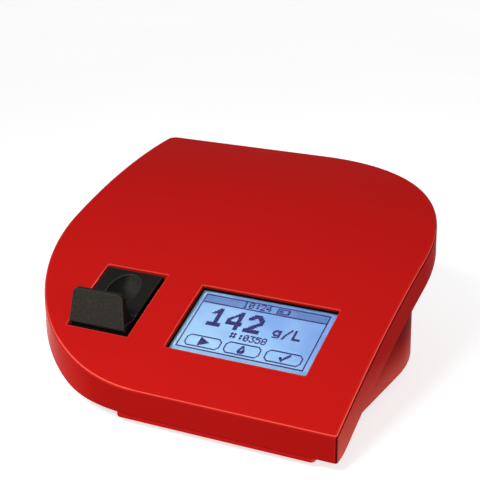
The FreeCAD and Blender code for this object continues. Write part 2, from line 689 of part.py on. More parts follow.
def board_screw_places():
    xs = (BOARD_LEFT_X + BOARD_SCREW_INSET, BOARD_RIGHT_X - BOARD_SCREW_INSET)
    ys = (BOARD_FRONT_Y + BOARD_SCREW_INSET, BOARD_REAR_Y - BOARD_SCREW_INSET)
    return [(x, y) for x in xs for y in ys]


def board_bottom():
    return FLOOR_TOP + BOARD_STANDOFF


def board_top():
    return board_bottom() + BOARD_THICKNESS


def on_board(share_x, share_y):
    """Point of the main board at these shares of its width and length."""
    return BOARD_LEFT_X + share_x * BOARD_WIDTH, BOARD_FRONT_Y + share_y * BOARD_LENGTH


def guide_levels():
    """Heights of the drawer's underside and the guide's floor and side walls."""
    under = crown_at(OPENING_FRONT_Y)[0] + DRAWER_LIFT
    floor_top = under - RUN_CLEARANCE
    return {"under": under, "tail_top": under + TAIL_THICKNESS, "floor_top": floor_top,
            "floor_bottom": floor_top - GUIDE_FLOOR,
            "wall_top": under + TAIL_THICKNESS + RUN_CLEARANCE}


def guide_lugs():
    """Centres of the four screw lugs, left and right of the guide."""
    left = DRAWER_LEFT - RUN_CLEARANCE - GUIDE_WALL - GUIDE_LUG_REACH
    right = DRAWER_RIGHT + RUN_CLEARANCE + GUIDE_WALL + GUIDE_LUG_REACH
    return [(x, y) for x in (left, right) for y in (OPENING_REAR_Y + GUIDE_LUG_SETBACK, TAIL_REAR_Y)]


def door_screw_place():
    return BATTERY_X, BATTERY_Y - WELL_HALF_L - DOOR_LIP - DOOR_SCREW_SETBACK


def lead_place():
    """Where the battery's lead leaves the well: x, y of the pack's end, and height."""
    return BATTERY_X - LEAD_OFFSET, BATTERY_Y + CELL_LENGTH / 2, FLOOR_TOP + LEAD_HEIGHT


def base_shell():
    outer = base_prism(0.0, BASE_BOTTOM, DEPTH)
    low = [e for e in outer.Edges if all(abs(p.z - BASE_BOTTOM) < 0.01 for p in e.discretize(3))]
    outer = outer.makeFillet(BASE_EDGE_FILLET, low).common(under_crown(COVER_WALL + BASE_TOP_CLEARANCE))
    base = outer.cut(base_prism(BASE_WALL, FLOOR_TOP, DEPTH))
    corners = (TOE_CORNER_RADIUS, TOE_CORNER_RADIUS, TOE_REAR_CORNER, TOE_REAR_CORNER)
    toe = slab(TOE_LEFT_X, BASE_HALF_W, FRONT_Y + TOE_RECESS, -BASE_HALF_D + BASE_WALL, BASE_BOTTOM,
               RIM_BOTTOM - TOE_GAP, corners)
    toe_edges = [e for e in toe.Edges if all(p.z < BASE_BOTTOM + 0.01 and p.y < -BASE_HALF_D
                                             for p in e.discretize(3))]
    base = base.fuse(toe.makeFillet(BASE_EDGE_FILLET, toe_edges))
    wall_inside = base_prism(BASE_WALL / 2, BASE_BOTTOM, DEPTH)
    root = FLOOR_TOP - 1.0
    for x, y, joint in cover_posts():
        base = base.fuse(rod(COVER_POST_RADIUS, x, y, root, joint - POST_GAP).common(wall_inside))
    for x, y in board_screw_places():
        base = base.fuse(rod(STANDOFF_RADIUS, x, y, root, board_bottom()))
    levels = guide_levels()
    for x, y in guide_lugs():
        base = base.fuse(rod(STANDOFF_RADIUS, x, y, root, levels["floor_bottom"]))
    base = base.fuse(well_box(WELL_WALL, root, well_top() + WELL_WALL))
    screw_x, screw_y = door_screw_place()
    boss_top = FLOOR_TOP + DOOR_BOSS_HEIGHT
    base = base.fuse(rod(STANDOFF_RADIUS, screw_x, screw_y, root, boss_top))
    for x, y, joint in cover_posts():
        base = base.cut(rod(HEAD_BORE_RADIUS, x, y, 0.0, joint - POST_GAP - COVER_POST_WEB))
        base = base.cut(rod(SCREW_CLEARANCE_RADIUS, x, y, 0.0, joint))
    for x, y in FOOT_PLACES:
        base = base.cut(rod(FOOT_RADIUS + FOOT_CLEARANCE, x, y, 0.0, BASE_BOTTOM + FOOT_RECESS))
    for x, y in board_screw_places():
        base = base.cut(rod(SMALL_SCREW_RADIUS, x, y, FLOOR_TOP, DEPTH))
    for x, y in guide_lugs():
        base = base.cut(rod(SMALL_SCREW_RADIUS, x, y, FLOOR_TOP + GUIDE_SCREW_FLOOR, DEPTH))
    base = base.cut(well_box(0.0, 0.0, well_top()))
    base = base.cut(door_block(DOOR_GAP, 0.0, BASE_BOTTOM + DOOR_THICKNESS + DOOR_CEILING))
    base = base.cut(door_tabs(TAB_GAP, TAB_LIFT))
    base = base.cut(rod(SMALL_SCREW_RADIUS, screw_x, screw_y, 0.0, boss_top - DOOR_GAP))
    base = base.cut(slab(OPENING_LEFT - SHIELD_GAP - SHIELD_WALL - GUIDE_NOTCH,
                         OPENING_RIGHT + SHIELD_GAP + SHIELD_WALL + GUIDE_NOTCH, FRONT_Y, OPENING_REAR_Y,
                         levels["floor_bottom"] - GUIDE_NOTCH, DEPTH))
    x, y, z = lead_place()
    base = base.cut(Part.makeCylinder(LEAD_HOLE_RADIUS, 3 * WELL_WALL, V(x, y, z), V(0, 1, 0)))
    for window in (power_socket_window(), usb_window(), switch_window()):
        base = base.cut(window)
    return base.removeSplitter()


def door_block(grow, z0, z1):
    """Outline of the battery door: the well with a lip round it, longer at the screw's end."""
    half_w = WELL_HALF_W + DOOR_LIP + grow
    front = door_screw_place()[1] - DOOR_SCREW_MARGIN - grow
    rear = BATTERY_Y + WELL_HALF_L + DOOR_LIP + grow
    return slab(BATTERY_X - half_w, BATTERY_X + half_w, front, rear, z0, z1, DOOR_CORNER)


def door_tabs(grow, lift):
    """Two tongues on the door's rear edge that hook above the floor's edge."""
    rear = BATTERY_Y + WELL_HALF_L
    z = BASE_BOTTOM + DOOR_THICKNESS - TAB_ROOT + lift - grow
    tabs = []
    for side in (-1, 1):
        x = BATTERY_X + side * TAB_OFFSET
        tabs.append(Part.makeBox(TAB_WIDTH + 2 * grow, DOOR_LIP + TAB_REACH + grow, TAB_THICKNESS + 2 * grow,
                                 V(x - TAB_WIDTH / 2 - grow, rear - TAB_ROOT, z)))
    return Part.makeCompound(tabs)


def battery_door():
    door = door_block(0.0, BASE_BOTTOM, BASE_BOTTOM + DOOR_THICKNESS)
    for tab in door_tabs(0.0, TAB_LIFT).Solids:
        door = door.fuse(tab)
    for step in range(GRIP_COUNT):
        y = BATTERY_Y + GRIP_PITCH * (step - (GRIP_COUNT - 1) / 2)
        door = door.cut(slab(BATTERY_X - GRIP_HALF_WIDTH, BATTERY_X + GRIP_HALF_WIDTH, y - GRIP_HALF,
                             y + GRIP_HALF, 0.0, BASE_BOTTOM + GRIP_DEPTH, GRIP_CORNER))
    x, y = door_screw_place()
    door = door.cut(rod(SCREW_CLEARANCE_RADIUS, x, y, 0.0, FLOOR_TOP))
    door = door.cut(rod(SMALL_HEAD_RADIUS + DOOR_GAP, x, y, 0.0, BASE_BOTTOM + DOOR_HEAD_SINK))
    return door.removeSplitter()


def screw(x, y, seat, shank_radius, shank_length, head_radius, head_height, head_up):
    """Pan-head screw. seat is the height of the face that its head bears on."""
    sign = 1 if head_up else -1
    head = Part.makeCylinder(head_radius, head_height, V(x, y, seat), V(0, 0, sign))
    rim = [e for e in head.Edges if abs(e.BoundBox.ZMin - (seat + sign * head_height)) < 0.01
           and e.BoundBox.ZLength < 0.01]
    head = head.makeFillet(head_height * 0.4, rim)
    shank = Part.makeCylinder(shank_radius, shank_length, V(x, y, seat), V(0, 0, -sign))
    return head.fuse(shank).removeSplitter()


def cover_screws():
    return Part.makeCompound([
        screw(x, y, joint - POST_GAP - COVER_POST_WEB, COVER_SCREW_RADIUS, COVER_POST_WEB + INSERT_LENGTH,
              COVER_HEAD_RADIUS, COVER_HEAD_HEIGHT, False)
        for x, y, joint in cover_posts()])


def threaded_inserts():
    inserts = []
    for x, y, joint in cover_posts():
        ring = rod(INSERT_RADIUS - INSERT_PRESS, x, y, joint, joint + INSERT_LENGTH)
        inserts.append(ring.cut(rod(INSERT_BORE_RADIUS, x, y, 0.0, DEPTH)))
    return Part.makeCompound(inserts)


def rubber_feet():
    feet = []
    for x, y in FOOT_PLACES:
        foot = rod(FOOT_RADIUS, x, y, 0.0, BASE_BOTTOM + FOOT_RECESS)
        lower = [e for e in foot.Edges if abs(e.BoundBox.ZMax) < 0.01]
        feet.append(foot.makeFillet(FOOT_EDGE_FILLET, lower))
    return Part.makeCompound(feet)


def battery_door_screw():
    x, y = door_screw_place()
    return screw(x, y, BASE_BOTTOM + DOOR_HEAD_SINK, DOOR_SCREW_RADIUS, DOOR_SCREW_LENGTH,
                 SMALL_HEAD_RADIUS, DOOR_HEAD_HEIGHT, False)


def battery_pack():
    """Cells side by side in one shrink sleeve."""
    middle = BASE_BOTTOM + DOOR_THICKNESS + PACK_LIFT + CELL_RADIUS
    first = BATTERY_X - (CELL_COUNT - 1) * CELL_RADIUS
    front = BATTERY_Y - CELL_LENGTH / 2
    pack = None
    for number in range(CELL_COUNT):
        x = first + 2 * CELL_RADIUS * number
        cell = Part.makeCylinder(CELL_RADIUS, CELL_LENGTH, V(x, front, middle), V(0, 1, 0))
        pack = cell if pack is None else pack.fuse(cell)
    span = 2 * CELL_RADIUS * (CELL_COUNT - 1)
    height = CELL_RADIUS * SLEEVE_SHARE
    fill = Part.makeBox(span, CELL_LENGTH, height, V(first, front, middle - height / 2))
    return pack.fuse(fill).removeSplitter()


def plug_place():
    """Middle of the battery plug on the main board."""
    return BOARD_RIGHT_X - PLUG_SETBACK, on_board(1.0, PLUG_SHARE)[1]


def battery_plug():
    x, y = plug_place()
    return slab(x - PLUG_HALF, x + PLUG_HALF, y - PLUG_LENGTH / 2, y + PLUG_LENGTH / 2, board_top(),
                board_top() + PLUG_HEIGHT, PLUG_CORNER)


def battery_lead():
    """Two wires, one above the other, from the pack's end to the plug."""
    x, y, z = lead_place()
    plug_x, plug_y = plug_place()
    wires = []
    for side in (-1, 1):
        level = z + side * LEAD_PITCH / 2
        start = V(x, y, level)
        turn = V(x, plug_y, level)
        end = V(plug_x + PLUG_HALF, plug_y, level)
        corner = bend(start, turn, end, LEAD_BEND).toShape()
        path = Part.Wire([Part.makeLine(start, corner.Vertexes[0].Point), corner,
                          Part.makeLine(corner.Vertexes[-1].Point, end)])
        section = Part.Face(Part.Wire(Part.makeCircle(LEAD_WIRE_RADIUS, start, V(0, 1, 0))))
        wires.append(path.makePipe(section))
    return Part.makeCompound(wires)


def main_board():
    board = slab(BOARD_LEFT_X, BOARD_RIGHT_X, BOARD_FRONT_Y, BOARD_REAR_Y, board_bottom(), board_top(),
                 BOARD_CORNER)
    for x, y in board_screw_places():
        board = board.cut(rod(SCREW_CLEARANCE_RADIUS, x, y, 0.0, DEPTH))
    return board


def main_board_screws():
    return Part.makeCompound([screw(x, y, board_top(), BOARD_SCREW_RADIUS, BOARD_SCREW_LENGTH,
                                    SMALL_HEAD_RADIUS, SMALL_HEAD_HEIGHT, True)
                              for x, y in board_screw_places()])


def board_chips():
    """Processor and supply parts soldered to the main board."""
    chips = []
    for left, right, front, rear, height in CHIPS.values():
        x0, y0 = on_board(left, front)
        x1, y1 = on_board(right, rear)
        chips.append(slab(x0, x1, y0, y1, board_top(), board_top() + height))
    x, y = on_board(*CAPACITOR_SHARE)
    chips.append(rod(CAPACITOR_RADIUS, x, y, board_top(), board_top() + CAPACITOR_HEIGHT))
    return Part.makeCompound(chips)


def coin_cell_holder():
    x, y = on_board(*COIN_SHARE)
    ring = rod(COIN_HOLDER_RADIUS, x, y, board_top(), board_top() + COIN_HOLDER_HEIGHT)
    return ring.cut(rod(COIN_RADIUS + COIN_CLEARANCE, x, y, board_top() + COIN_FLOOR, DEPTH))


def coin_cell():
    x, y = on_board(*COIN_SHARE)
    bottom = board_top() + COIN_FLOOR
    return rod(COIN_RADIUS, x, y, bottom, bottom + COIN_THICKNESS)


def buzzer():
    x, y = on_board(*BUZZER_SHARE)
    top = board_top() + BUZZER_HEIGHT
    can = rod(BUZZER_RADIUS, x, y, board_top(), top)
    return can.cut(rod(BUZZER_HOLE_RADIUS, x, y, top - BUZZER_HOLE_DEPTH, DEPTH))


def display_gasket():
    """Foam ring under the cover, with a thin lip that lines the window."""
    top = display_levels()["gasket"]
    bottom = top - GASKET_THICKNESS
    ring = window_block(MODULE_BORDER, bottom, top)
    lip = window_block(-GASKET_GAP, bottom, top + LIP_HEIGHT)
    return on_display(ring.fuse(lip).cut(window_block(-GASKET_GAP - LIP_THICKNESS, -DEPTH, 0.0))
                      .removeSplitter())


def touch_panel():
    top = display_levels()["touch"]
    return on_display(window_block(TOUCH_BORDER, top - TOUCH_THICKNESS, top))


def lcd_frame():
    """Folded sheet can round the glass and its light."""
    levels = display_levels()
    can = window_block(MODULE_BORDER, levels["board"], levels["frame"])
    can = can.cut(window_block(MODULE_BORDER - FRAME_SHEET, levels["board"], levels["glass"]))
    return on_display(can.cut(window_block(FRAME_REVEAL, -DEPTH, 0.0)))


def in_can(top, thickness):
    """Plate that fits inside the display's can."""
    return on_display(window_block(MODULE_BORDER - FRAME_SHEET - STACK_CLEARANCE, top - thickness, top))


def lcd_glass():
    return in_can(display_levels()["glass"], GLASS_THICKNESS)


def backlight_plate():
    return in_can(display_levels()["backlight"], BACKLIGHT_THICKNESS)


def display_board():
    top = display_levels()["board"]
    board = module_block(0.0, top - BOARD_THICKNESS, top)
    for x, y in display_screw_places():
        board = board.cut(rod(DISPLAY_SCREW_RADIUS + STACK_CLEARANCE, x, y, -DEPTH, 0.0))
    return on_display(board)


def display_board_screws():
    bottom = display_levels()["board"] - BOARD_THICKNESS
    return on_display(Part.makeCompound([
        screw(x, y, bottom, DISPLAY_SCREW_RADIUS, DISPLAY_SCREW_LENGTH, DISPLAY_HEAD_RADIUS,
              DISPLAY_HEAD_HEIGHT, False)
        for x, y in display_screw_places()]))


def display_socket_place():
    """Middle of the ribbon socket on the back of the display board, in its own frame."""
    return RIBBON_X, RIBBON_DISPLAY_Y, display_levels()["board"] - BOARD_THICKNESS


def main_socket_place():
    return RIBBON_X, on_board(1.0, RIBBON_MAIN_SHARE)[1], board_top()


def ribbon_sockets():
    half_w = RIBBON_SOCKET_HALF
    half_l = RIBBON_SOCKET_DEPTH
    x, y, z = display_socket_place()
    upper = on_display(slab(x - half_w, x + half_w, y - half_l, y + half_l, z - RIBBON_SOCKET_HEIGHT, z))
    x, y, z = main_socket_place()
    lower = slab(x - half_w, x + half_w, y - half_l, y + half_l, z, z + RIBBON_SOCKET_HEIGHT)
    return Part.makeCompound([upper, lower])


def bend(before, turn, after, radius):
    """Arc of the given radius that rounds the corner of a path at turn."""
    back = (before - turn).normalize()
    ahead = (after - turn).normalize()
    half = back.getAngle(ahead) / 2
    setback = radius / math.tan(half)
    middle = (back + ahead).normalize()
    centre = turn + middle * (radius / math.sin(half))
    return Part.Arc(turn + back * setback, centre - middle * radius, turn + ahead * setback)


def display_ribbon():
    """Flat cable from the display board's back to the main board, straight with a round bend each end."""
    x, y, z = display_socket_place()
    frame = display_place()
    start = frame.multVec(V(x, y, z - RIBBON_SOCKET_HEIGHT))
    end_x, end_y, end_z = main_socket_place()
    end = V(start.x, end_y, end_z + RIBBON_SOCKET_HEIGHT)
    leave = start + frame.Rotation.multVec(V(0, 0, -1)) * RIBBON_BEND
    arrive = end + V(0, 0, RIBBON_BEND)
    radius = RIBBON_BEND * RIBBON_BEND_SHARE
    first = bend(start, leave, arrive, radius).toShape()
    second = bend(leave, arrive, end, radius).toShape()
    edges = [Part.makeLine(start, first.Vertexes[0].Point), first,
             Part.makeLine(first.Vertexes[-1].Point, second.Vertexes[0].Point), second,
             Part.makeLine(second.Vertexes[-1].Point, end)]
    band = Part.Wire(edges).makeOffset2D(RIBBON_THICKNESS, 0, True, True)
    band.translate(V(-RIBBON_WIDTH / 2, 0, 0))
    return band.extrude(V(RIBBON_WIDTH, 0, 0))


def cuvette_drawer():
    levels = guide_levels()
    under = levels["under"]
    tail_top = levels["tail_top"]
    rear = OPENING_REAR_Y - DRAWER_REAR_GAP
    foot_front = UPSTAND_FACE_Y + UPSTAND_FOOT_SETBACK
    body = slab(DRAWER_LEFT, DRAWER_RIGHT, foot_front, rear, under, DEPTH)
    body = body.common(under_crown(DRAWER_TOP_SINK))
    body = body.makeFillet(DRAWER_EDGE_FILLET, plate_rim(body, rear))
    body = body.fuse(upstand(under))
    tail = slab(DRAWER_LEFT, DRAWER_RIGHT, foot_front, TAIL_REAR_Y, under, tail_top)
    body = body.fuse(tail).removeSplitter()
    body = body.cut(scoop())
    seat_floor = tail_top - SEAT_DEPTH
    seat = slab(DRAWER_X - SEAT_WIDTH / 2, DRAWER_X + SEAT_WIDTH / 2, SEAT_FRONT_Y,
                SEAT_FRONT_Y + SEAT_LENGTH, seat_floor, tail_top + 1.0, SEAT_CORNER)
    body = body.cut(seat)
    notch_y = SEAT_FRONT_Y + SEAT_NOTCH_SETBACK
    body = body.cut(rod(SEAT_NOTCH_RADIUS, DRAWER_LEFT, notch_y, seat_floor, tail_top + 1.0))
    body = body.cut(rod(BEAM_HOLE_RADIUS, DRAWER_X, BEAM_Y, 0.0, tail_top))
    body = body.cut(relief(under, rear))
    hook = slab(HOOK_X - HOOK_WIDTH / 2, HOOK_X + HOOK_WIDTH / 2, TAIL_REAR_Y - HOOK_LENGTH,
                TAIL_REAR_Y, under - HOOK_DROP, under + 1.0)
    return body.fuse(hook).removeSplitter()


def plate_rim(body, rear):
    """Edges of the sunk plate at its left, right and rear."""
    rim = []
    for edge in body.Edges:
        points = edge.discretize(5)
        on_plate = all(abs(p.z - crown_at(p.y, DRAWER_TOP_SINK)[0]) < 0.02 for p in points)
        at_side = all(min(p.x - DRAWER_LEFT, DRAWER_RIGHT - p.x) < 0.01 for p in points)
        at_rear = all(rear - p.y < 0.01 for p in points)
        if on_plate and (at_side or at_rear):
            rim.append(edge)
    return rim


def relief(under, rear):
    """Hollow under the plate, with three ribs left standing in it."""
    front = SCOOP_Y - RELIEF_REACH
    hollow = slab(DRAWER_LEFT + RELIEF_WALL, DRAWER_RIGHT - RELIEF_WALL, front, rear - RELIEF_WALL,
                  under - 1.0, under + RELIEF_DEPTH, 1.0)
    for share in (-1, 0, 1):
        x = DRAWER_X + share * DRAWER_WIDTH / 4
        hollow = hollow.cut(slab(x - RELIEF_RIB / 2, x + RELIEF_RIB / 2, front - 1.0, rear, under - 2.0,
                                 under + RELIEF_DEPTH + 1.0))
    return hollow


def upstand(under):
    """Finger wall at the drawer's front: tapered face, leaning back, with a hollow curve behind."""
    face_bottom = under + UPSTAND_FOOT_HEIGHT
    top_y = UPSTAND_FACE_Y + UPSTAND_LEAN
    top_z = face_bottom + UPSTAND_HEIGHT
    plate_y = top_y + UPSTAND_TIP + SWEEP_RADIUS
    plate_z, slope = crown_at(plate_y, DRAWER_TOP_SINK)
    along = V(0, math.cos(slope), math.sin(slope))
    side = DRAWER_LEFT
    tip_back = V(side, top_y + UPSTAND_TIP, top_z)
    foot_of_sweep = V(side, plate_y, plate_z)
    sweep = Part.BezierCurve()
    sweep.setPoles([tip_back, V(side, tip_back.y + SWEEP_START, plate_z + SWEEP_RISE),
                    foot_of_sweep - along * (SWEEP_RADIUS * 0.8), foot_of_sweep])
    foot_y = UPSTAND_FACE_Y + UPSTAND_FOOT_SETBACK
    corners = [foot_of_sweep, V(side, plate_y, under), V(side, foot_y, under),
               V(side, foot_y, face_bottom), V(side, UPSTAND_FACE_Y, face_bottom),
               V(side, top_y, top_z), tip_back]
    edges = [Part.makeLine(a, b) for a, b in zip(corners, corners[1:])]
    edges.append(sweep.toShape())
    wall = Part.Face(Part.Wire(edges)).extrude(V(DRAWER_WIDTH, 0, 0))
    low = [V(DRAWER_LEFT, 0, 0), V(DRAWER_RIGHT, 0, 0), V(DRAWER_RIGHT, 0, face_bottom),
           V(DRAWER_RIGHT - UPSTAND_TAPER, 0, top_z), V(DRAWER_LEFT + UPSTAND_TAPER, 0, top_z),
           V(DRAWER_LEFT, 0, face_bottom), V(DRAWER_LEFT, 0, 0)]
    front_view = Part.Face(Part.makePolygon(low)).extrude(V(0, -DEPTH, 0))
    tips = [e for e in front_view.Edges if abs(e.BoundBox.ZMin - top_z) < 0.01 and e.BoundBox.XLength < 0.01]
    wall = wall.common(front_view.makeFillet(UPSTAND_CORNER, tips)).removeSplitter()
    return wall.makeFillet(DRAWER_EDGE_FILLET, upstand_rim(wall, face_bottom))


def upstand_rim(wall, face_bottom):
    """Edges round the finger wall's face and over its tip."""
    lean = UPSTAND_LEAN / UPSTAND_HEIGHT
    rim = []
    for edge in wall.Edges:
        points = edge.discretize(5)
        face_ys = [UPSTAND_FACE_Y + (p.z - face_bottom) * lean for p in points]
        on_face = all(abs(p.y - y) < 0.01 for p, y in zip(points, face_ys))
        upper = max(p.z for p in points) > face_bottom + 0.01
        if on_face and upper:
            rim.append(edge)
    return rim


def scoop():
    """Ball stretched to the scoop's outline, sunk into the sloping plate."""
    height, slope = crown_at(SCOOP_Y, DRAWER_TOP_SINK)
    centre_up = SCOOP_ROUNDNESS - SCOOP_DEPTH
    cut_share = math.sqrt(1 - (centre_up / SCOOP_ROUNDNESS) ** 2)
    stretch = FreeCAD.Matrix()
    stretch.scale(V(SCOOP_HALF_WIDTH / cut_share, SCOOP_HALF_LENGTH / math.cos(slope) / cut_share,
                    SCOOP_ROUNDNESS))
    ball = Part.makeSphere(1.0).transformGeometry(stretch)
    turn = FreeCAD.Placement(V(DRAWER_X, SCOOP_Y, height), FreeCAD.Rotation(V(1, 0, 0), math.degrees(slope)))
    ball.translate(V(0, 0, centre_up))
    return ball.transformed(turn.toMatrix(), True)


def drawer_guide():
    """Tray that the drawer runs in, with shield walls that close the gap to the cover."""
    levels = guide_levels()
    floor_bottom = levels["floor_bottom"]
    floor_top = levels["floor_top"]
    left = DRAWER_LEFT - RUN_CLEARANCE
    right = DRAWER_RIGHT + RUN_CLEARANCE
    front = OPENING_FRONT_Y + RUN_CLEARANCE
    lid = under_crown(COVER_WALL + SHIELD_GAP)
    wide = slab(OPENING_LEFT - SHIELD_GAP, OPENING_RIGHT + SHIELD_GAP, front, GUIDE_REAR_Y,
                floor_bottom, floor_top)
    inside = slab(OPENING_LEFT + SHIELD_GAP, OPENING_RIGHT - SHIELD_GAP, front, GUIDE_REAR_Y,
                  floor_bottom, floor_top)
    rear_y = OPENING_REAR_Y + SHIELD_OVERLAP
    guide = wide.common(lid).fuse(inside)
    for x0, x1 in ((left - GUIDE_WALL, left), (right, right + GUIDE_WALL)):
        guide = guide.fuse(slab(x0, x1, rear_y, GUIDE_REAR_Y, floor_bottom, levels["wall_top"]))
    guide = guide.fuse(slab(right, OPENING_RIGHT + SHIELD_GAP, front + GUIDE_LEDGE_SETBACK, rear_y,
                            floor_bottom, levels["under"] + GUIDE_LEDGE_RISE).common(lid))
    for x0, x1 in ((OPENING_LEFT - SHIELD_GAP - SHIELD_WALL, OPENING_LEFT - SHIELD_GAP),
                   (OPENING_RIGHT + SHIELD_GAP, OPENING_RIGHT + SHIELD_GAP + SHIELD_WALL)):
        guide = guide.fuse(slab(x0, x1, front, rear_y, floor_bottom, DEPTH).common(lid))
    lug_top = floor_bottom + GUIDE_LUG_THICKNESS
    for x, y in guide_lugs():
        lug = rod(GUIDE_LUG_RADIUS, x, y, floor_bottom, lug_top)
        inner = left - GUIDE_WALL if x < DRAWER_X else right + GUIDE_WALL
        lug = lug.fuse(slab(min(x, inner), max(x, inner), y - GUIDE_LUG_RADIUS, y + GUIDE_LUG_RADIUS,
                            floor_bottom, lug_top))
        guide = guide.fuse(lug.cut(rod(SCREW_CLEARANCE_RADIUS, x, y, 0.0, DEPTH)))
    guide = guide.fuse(rod(PHOTODIODE_RADIUS + COLLAR_WALL, DRAWER_X, BEAM_Y, floor_bottom - COLLAR_DROP,
                           floor_bottom))
    guide = guide.cut(rod(PHOTODIODE_RADIUS + PHOTODIODE_CLEARANCE, DRAWER_X, BEAM_Y, 0.0,
                          floor_top - PHOTODIODE_COVER))
    guide = guide.cut(rod(PINHOLE_RADIUS, DRAWER_X, BEAM_Y, 0.0, DEPTH))
    half_slot = HOOK_WIDTH / 2 + RUN_CLEARANCE
    guide = guide.cut(slab(HOOK_X - half_slot, HOOK_X + half_slot,
                           TAIL_REAR_Y - HOOK_LENGTH - DRAWER_TRAVEL - RUN_CLEARANCE,
                           TAIL_REAR_Y + RUN_CLEARANCE, 0.0, floor_top + 1.0))
    guide = guide.cut(slab(OPENING_LEFT - GUIDE_STEP_REACH, OPENING_RIGHT + GUIDE_STEP_REACH, front - 1.0,
                           front + GUIDE_STEP_LENGTH, floor_top - GUIDE_FRONT_STEP, DEPTH))
    guide = guide.cut(spring_pocket(levels))
    for x, y in optic_screw_places():
        guide = guide.cut(rod(OPTIC_SCREW_HOLE, x, y, levels["wall_top"] - OPTIC_SCREW_BITE, DEPTH))
    return guide.removeSplitter()


def spring_pocket(levels):
    """Room for the leaf spring in the guide's right wall."""
    right = DRAWER_RIGHT + RUN_CLEARANCE
    rear = SPRING_REAR_Y + SPRING_CLEARANCE
    return slab(right - 1.0, right + SPRING_BOW + SPRING_SHEET, rear - SPRING_LENGTH - 2 * SPRING_CLEARANCE,
                rear, levels["under"] + SPRING_LIFT / 3, DEPTH)


def friction_spring():
    """Bowed leaf in the guide's wall that rubs on the drawer's flank."""
    seat = DRAWER_RIGHT + RUN_CLEARANCE + SPRING_BOW + SPRING_SHEET
    z = guide_levels()["under"] + SPRING_LIFT
    y0 = SPRING_REAR_Y - SPRING_LENGTH
    y1 = SPRING_REAR_Y
    middle = (y0 + y1) / 2
    reach = DRAWER_RIGHT + SPRING_RUB

    def bow(shift):
        return Part.Arc(V(seat - shift, y0, z), V(reach + SPRING_SHEET - shift, middle, z),
                        V(seat - shift, y1, z)).toShape()

    edges = [bow(SPRING_SHEET), Part.makeLine(V(seat - SPRING_SHEET, y1, z), V(seat, y1, z)),
             bow(0.0), Part.makeLine(V(seat, y0, z), V(seat - SPRING_SHEET, y0, z))]
    return Part.Face(Part.Wire(edges)).extrude(V(0, 0, SPRING_HEIGHT))


def guide_screws():
    seat = guide_levels()["floor_bottom"] + GUIDE_LUG_THICKNESS
    return Part.makeCompound([screw(x, y, seat, GUIDE_SCREW_RADIUS, GUIDE_SCREW_LENGTH, SMALL_HEAD_RADIUS,
                                    SMALL_HEAD_HEIGHT, True)
                              for x, y in guide_lugs()])


def optic_screw_places():
    inset = GUIDE_WALL / 2 + RUN_CLEARANCE
    reach = OPTIC_HALF_LENGTH - OPTIC_SCREW_INSET
    return [(x, y) for x in (DRAWER_LEFT - inset, DRAWER_RIGHT + inset)
            for y in (BEAM_Y - reach, BEAM_Y + reach)]


def optic_head():
    """Bridge over the drawer that holds the lamp and lens in line with the detector."""
    base_z = guide_levels()["wall_top"]
    top = base_z + OPTIC_HEIGHT
    left = DRAWER_LEFT - RUN_CLEARANCE - GUIDE_WALL
    right = DRAWER_RIGHT + RUN_CLEARANCE + GUIDE_WALL
    half = OPTIC_BLOCK_HALF
    flange = slab(left, right, BEAM_Y - OPTIC_HALF_LENGTH, BEAM_Y + OPTIC_HALF_LENGTH, base_z,
                  base_z + OPTIC_FLANGE, OPTIC_CORNER)
    block = slab(DRAWER_X - half, DRAWER_X + half, BEAM_Y - half, BEAM_Y + half, base_z + 1.0, top,
                 OPTIC_CORNER)
    head = flange.fuse(block)
    head = head.cut(rod(LENS_RADIUS + LENS_PRESS, DRAWER_X, BEAM_Y, 0.0, base_z + LENS_SEAT + LENS_THICKNESS))
    head = head.cut(rod(LAMP_RADIUS + LAMP_CLEARANCE, DRAWER_X, BEAM_Y,
                        base_z + LENS_THICKNESS + LAMP_RISE - LAMP_CLEARANCE, top + 1.0))
    head = head.cut(rod(BEAM_HOLE_RADIUS, DRAWER_X, BEAM_Y, 0.0, DEPTH))
    for x, y in optic_screw_places():
        head = head.cut(rod(OPTIC_SCREW_CLEARANCE, x, y, 0.0, DEPTH))
    return head.removeSplitter()


def optic_head_screws():
    seat = guide_levels()["wall_top"] + OPTIC_FLANGE
    return Part.makeCompound([screw(x, y, seat, OPTIC_SCREW_RADIUS, OPTIC_SCREW_LENGTH, OPTIC_HEAD_RADIUS,
                                    OPTIC_HEAD_HEIGHT, True)
                              for x, y in optic_screw_places()])


def collimating_lens():
    """Plano-convex lens, its flat face down."""
    z = guide_levels()["wall_top"] + LENS_SEAT
    dome = LENS_THICKNESS * (1 - LENS_EDGE_SHARE)
    ball_radius = (LENS_RADIUS ** 2 + dome ** 2) / (2 * dome)
    ball = Part.makeSphere(ball_radius, V(DRAWER_X, BEAM_Y, z + LENS_THICKNESS - ball_radius))
    return rod(LENS_RADIUS, DRAWER_X, BEAM_Y, z, z + LENS_THICKNESS).common(ball)


def led_lamp():
    base_z = guide_levels()["wall_top"]
    dome_z = base_z + LENS_THICKNESS + LAMP_RISE + LAMP_RADIUS
    stem = rod(LAMP_RADIUS, DRAWER_X, BEAM_Y, dome_z, base_z + OPTIC_HEIGHT)
    dome = Part.makeSphere(LAMP_RADIUS, V(DRAWER_X, BEAM_Y, dome_z))
    return stem.fuse(dome).removeSplitter()


def led_board():
    z = guide_levels()["wall_top"] + OPTIC_HEIGHT
    half = LED_BOARD_HALF
    return slab(DRAWER_X - half, DRAWER_X + half, BEAM_Y - half, BEAM_Y + half, z, z + BOARD_THICKNESS, 1.0)


def sensor_board_top():
    return guide_levels()["floor_bottom"] - SENSOR_BOARD_DROP


def sensor_screw_places():
    x = DRAWER_X - SENSOR_SCREW_OFFSET
    return [(x, BEAM_Y - SENSOR_SCREW_FRONT), (x, TAIL_REAR_Y)]


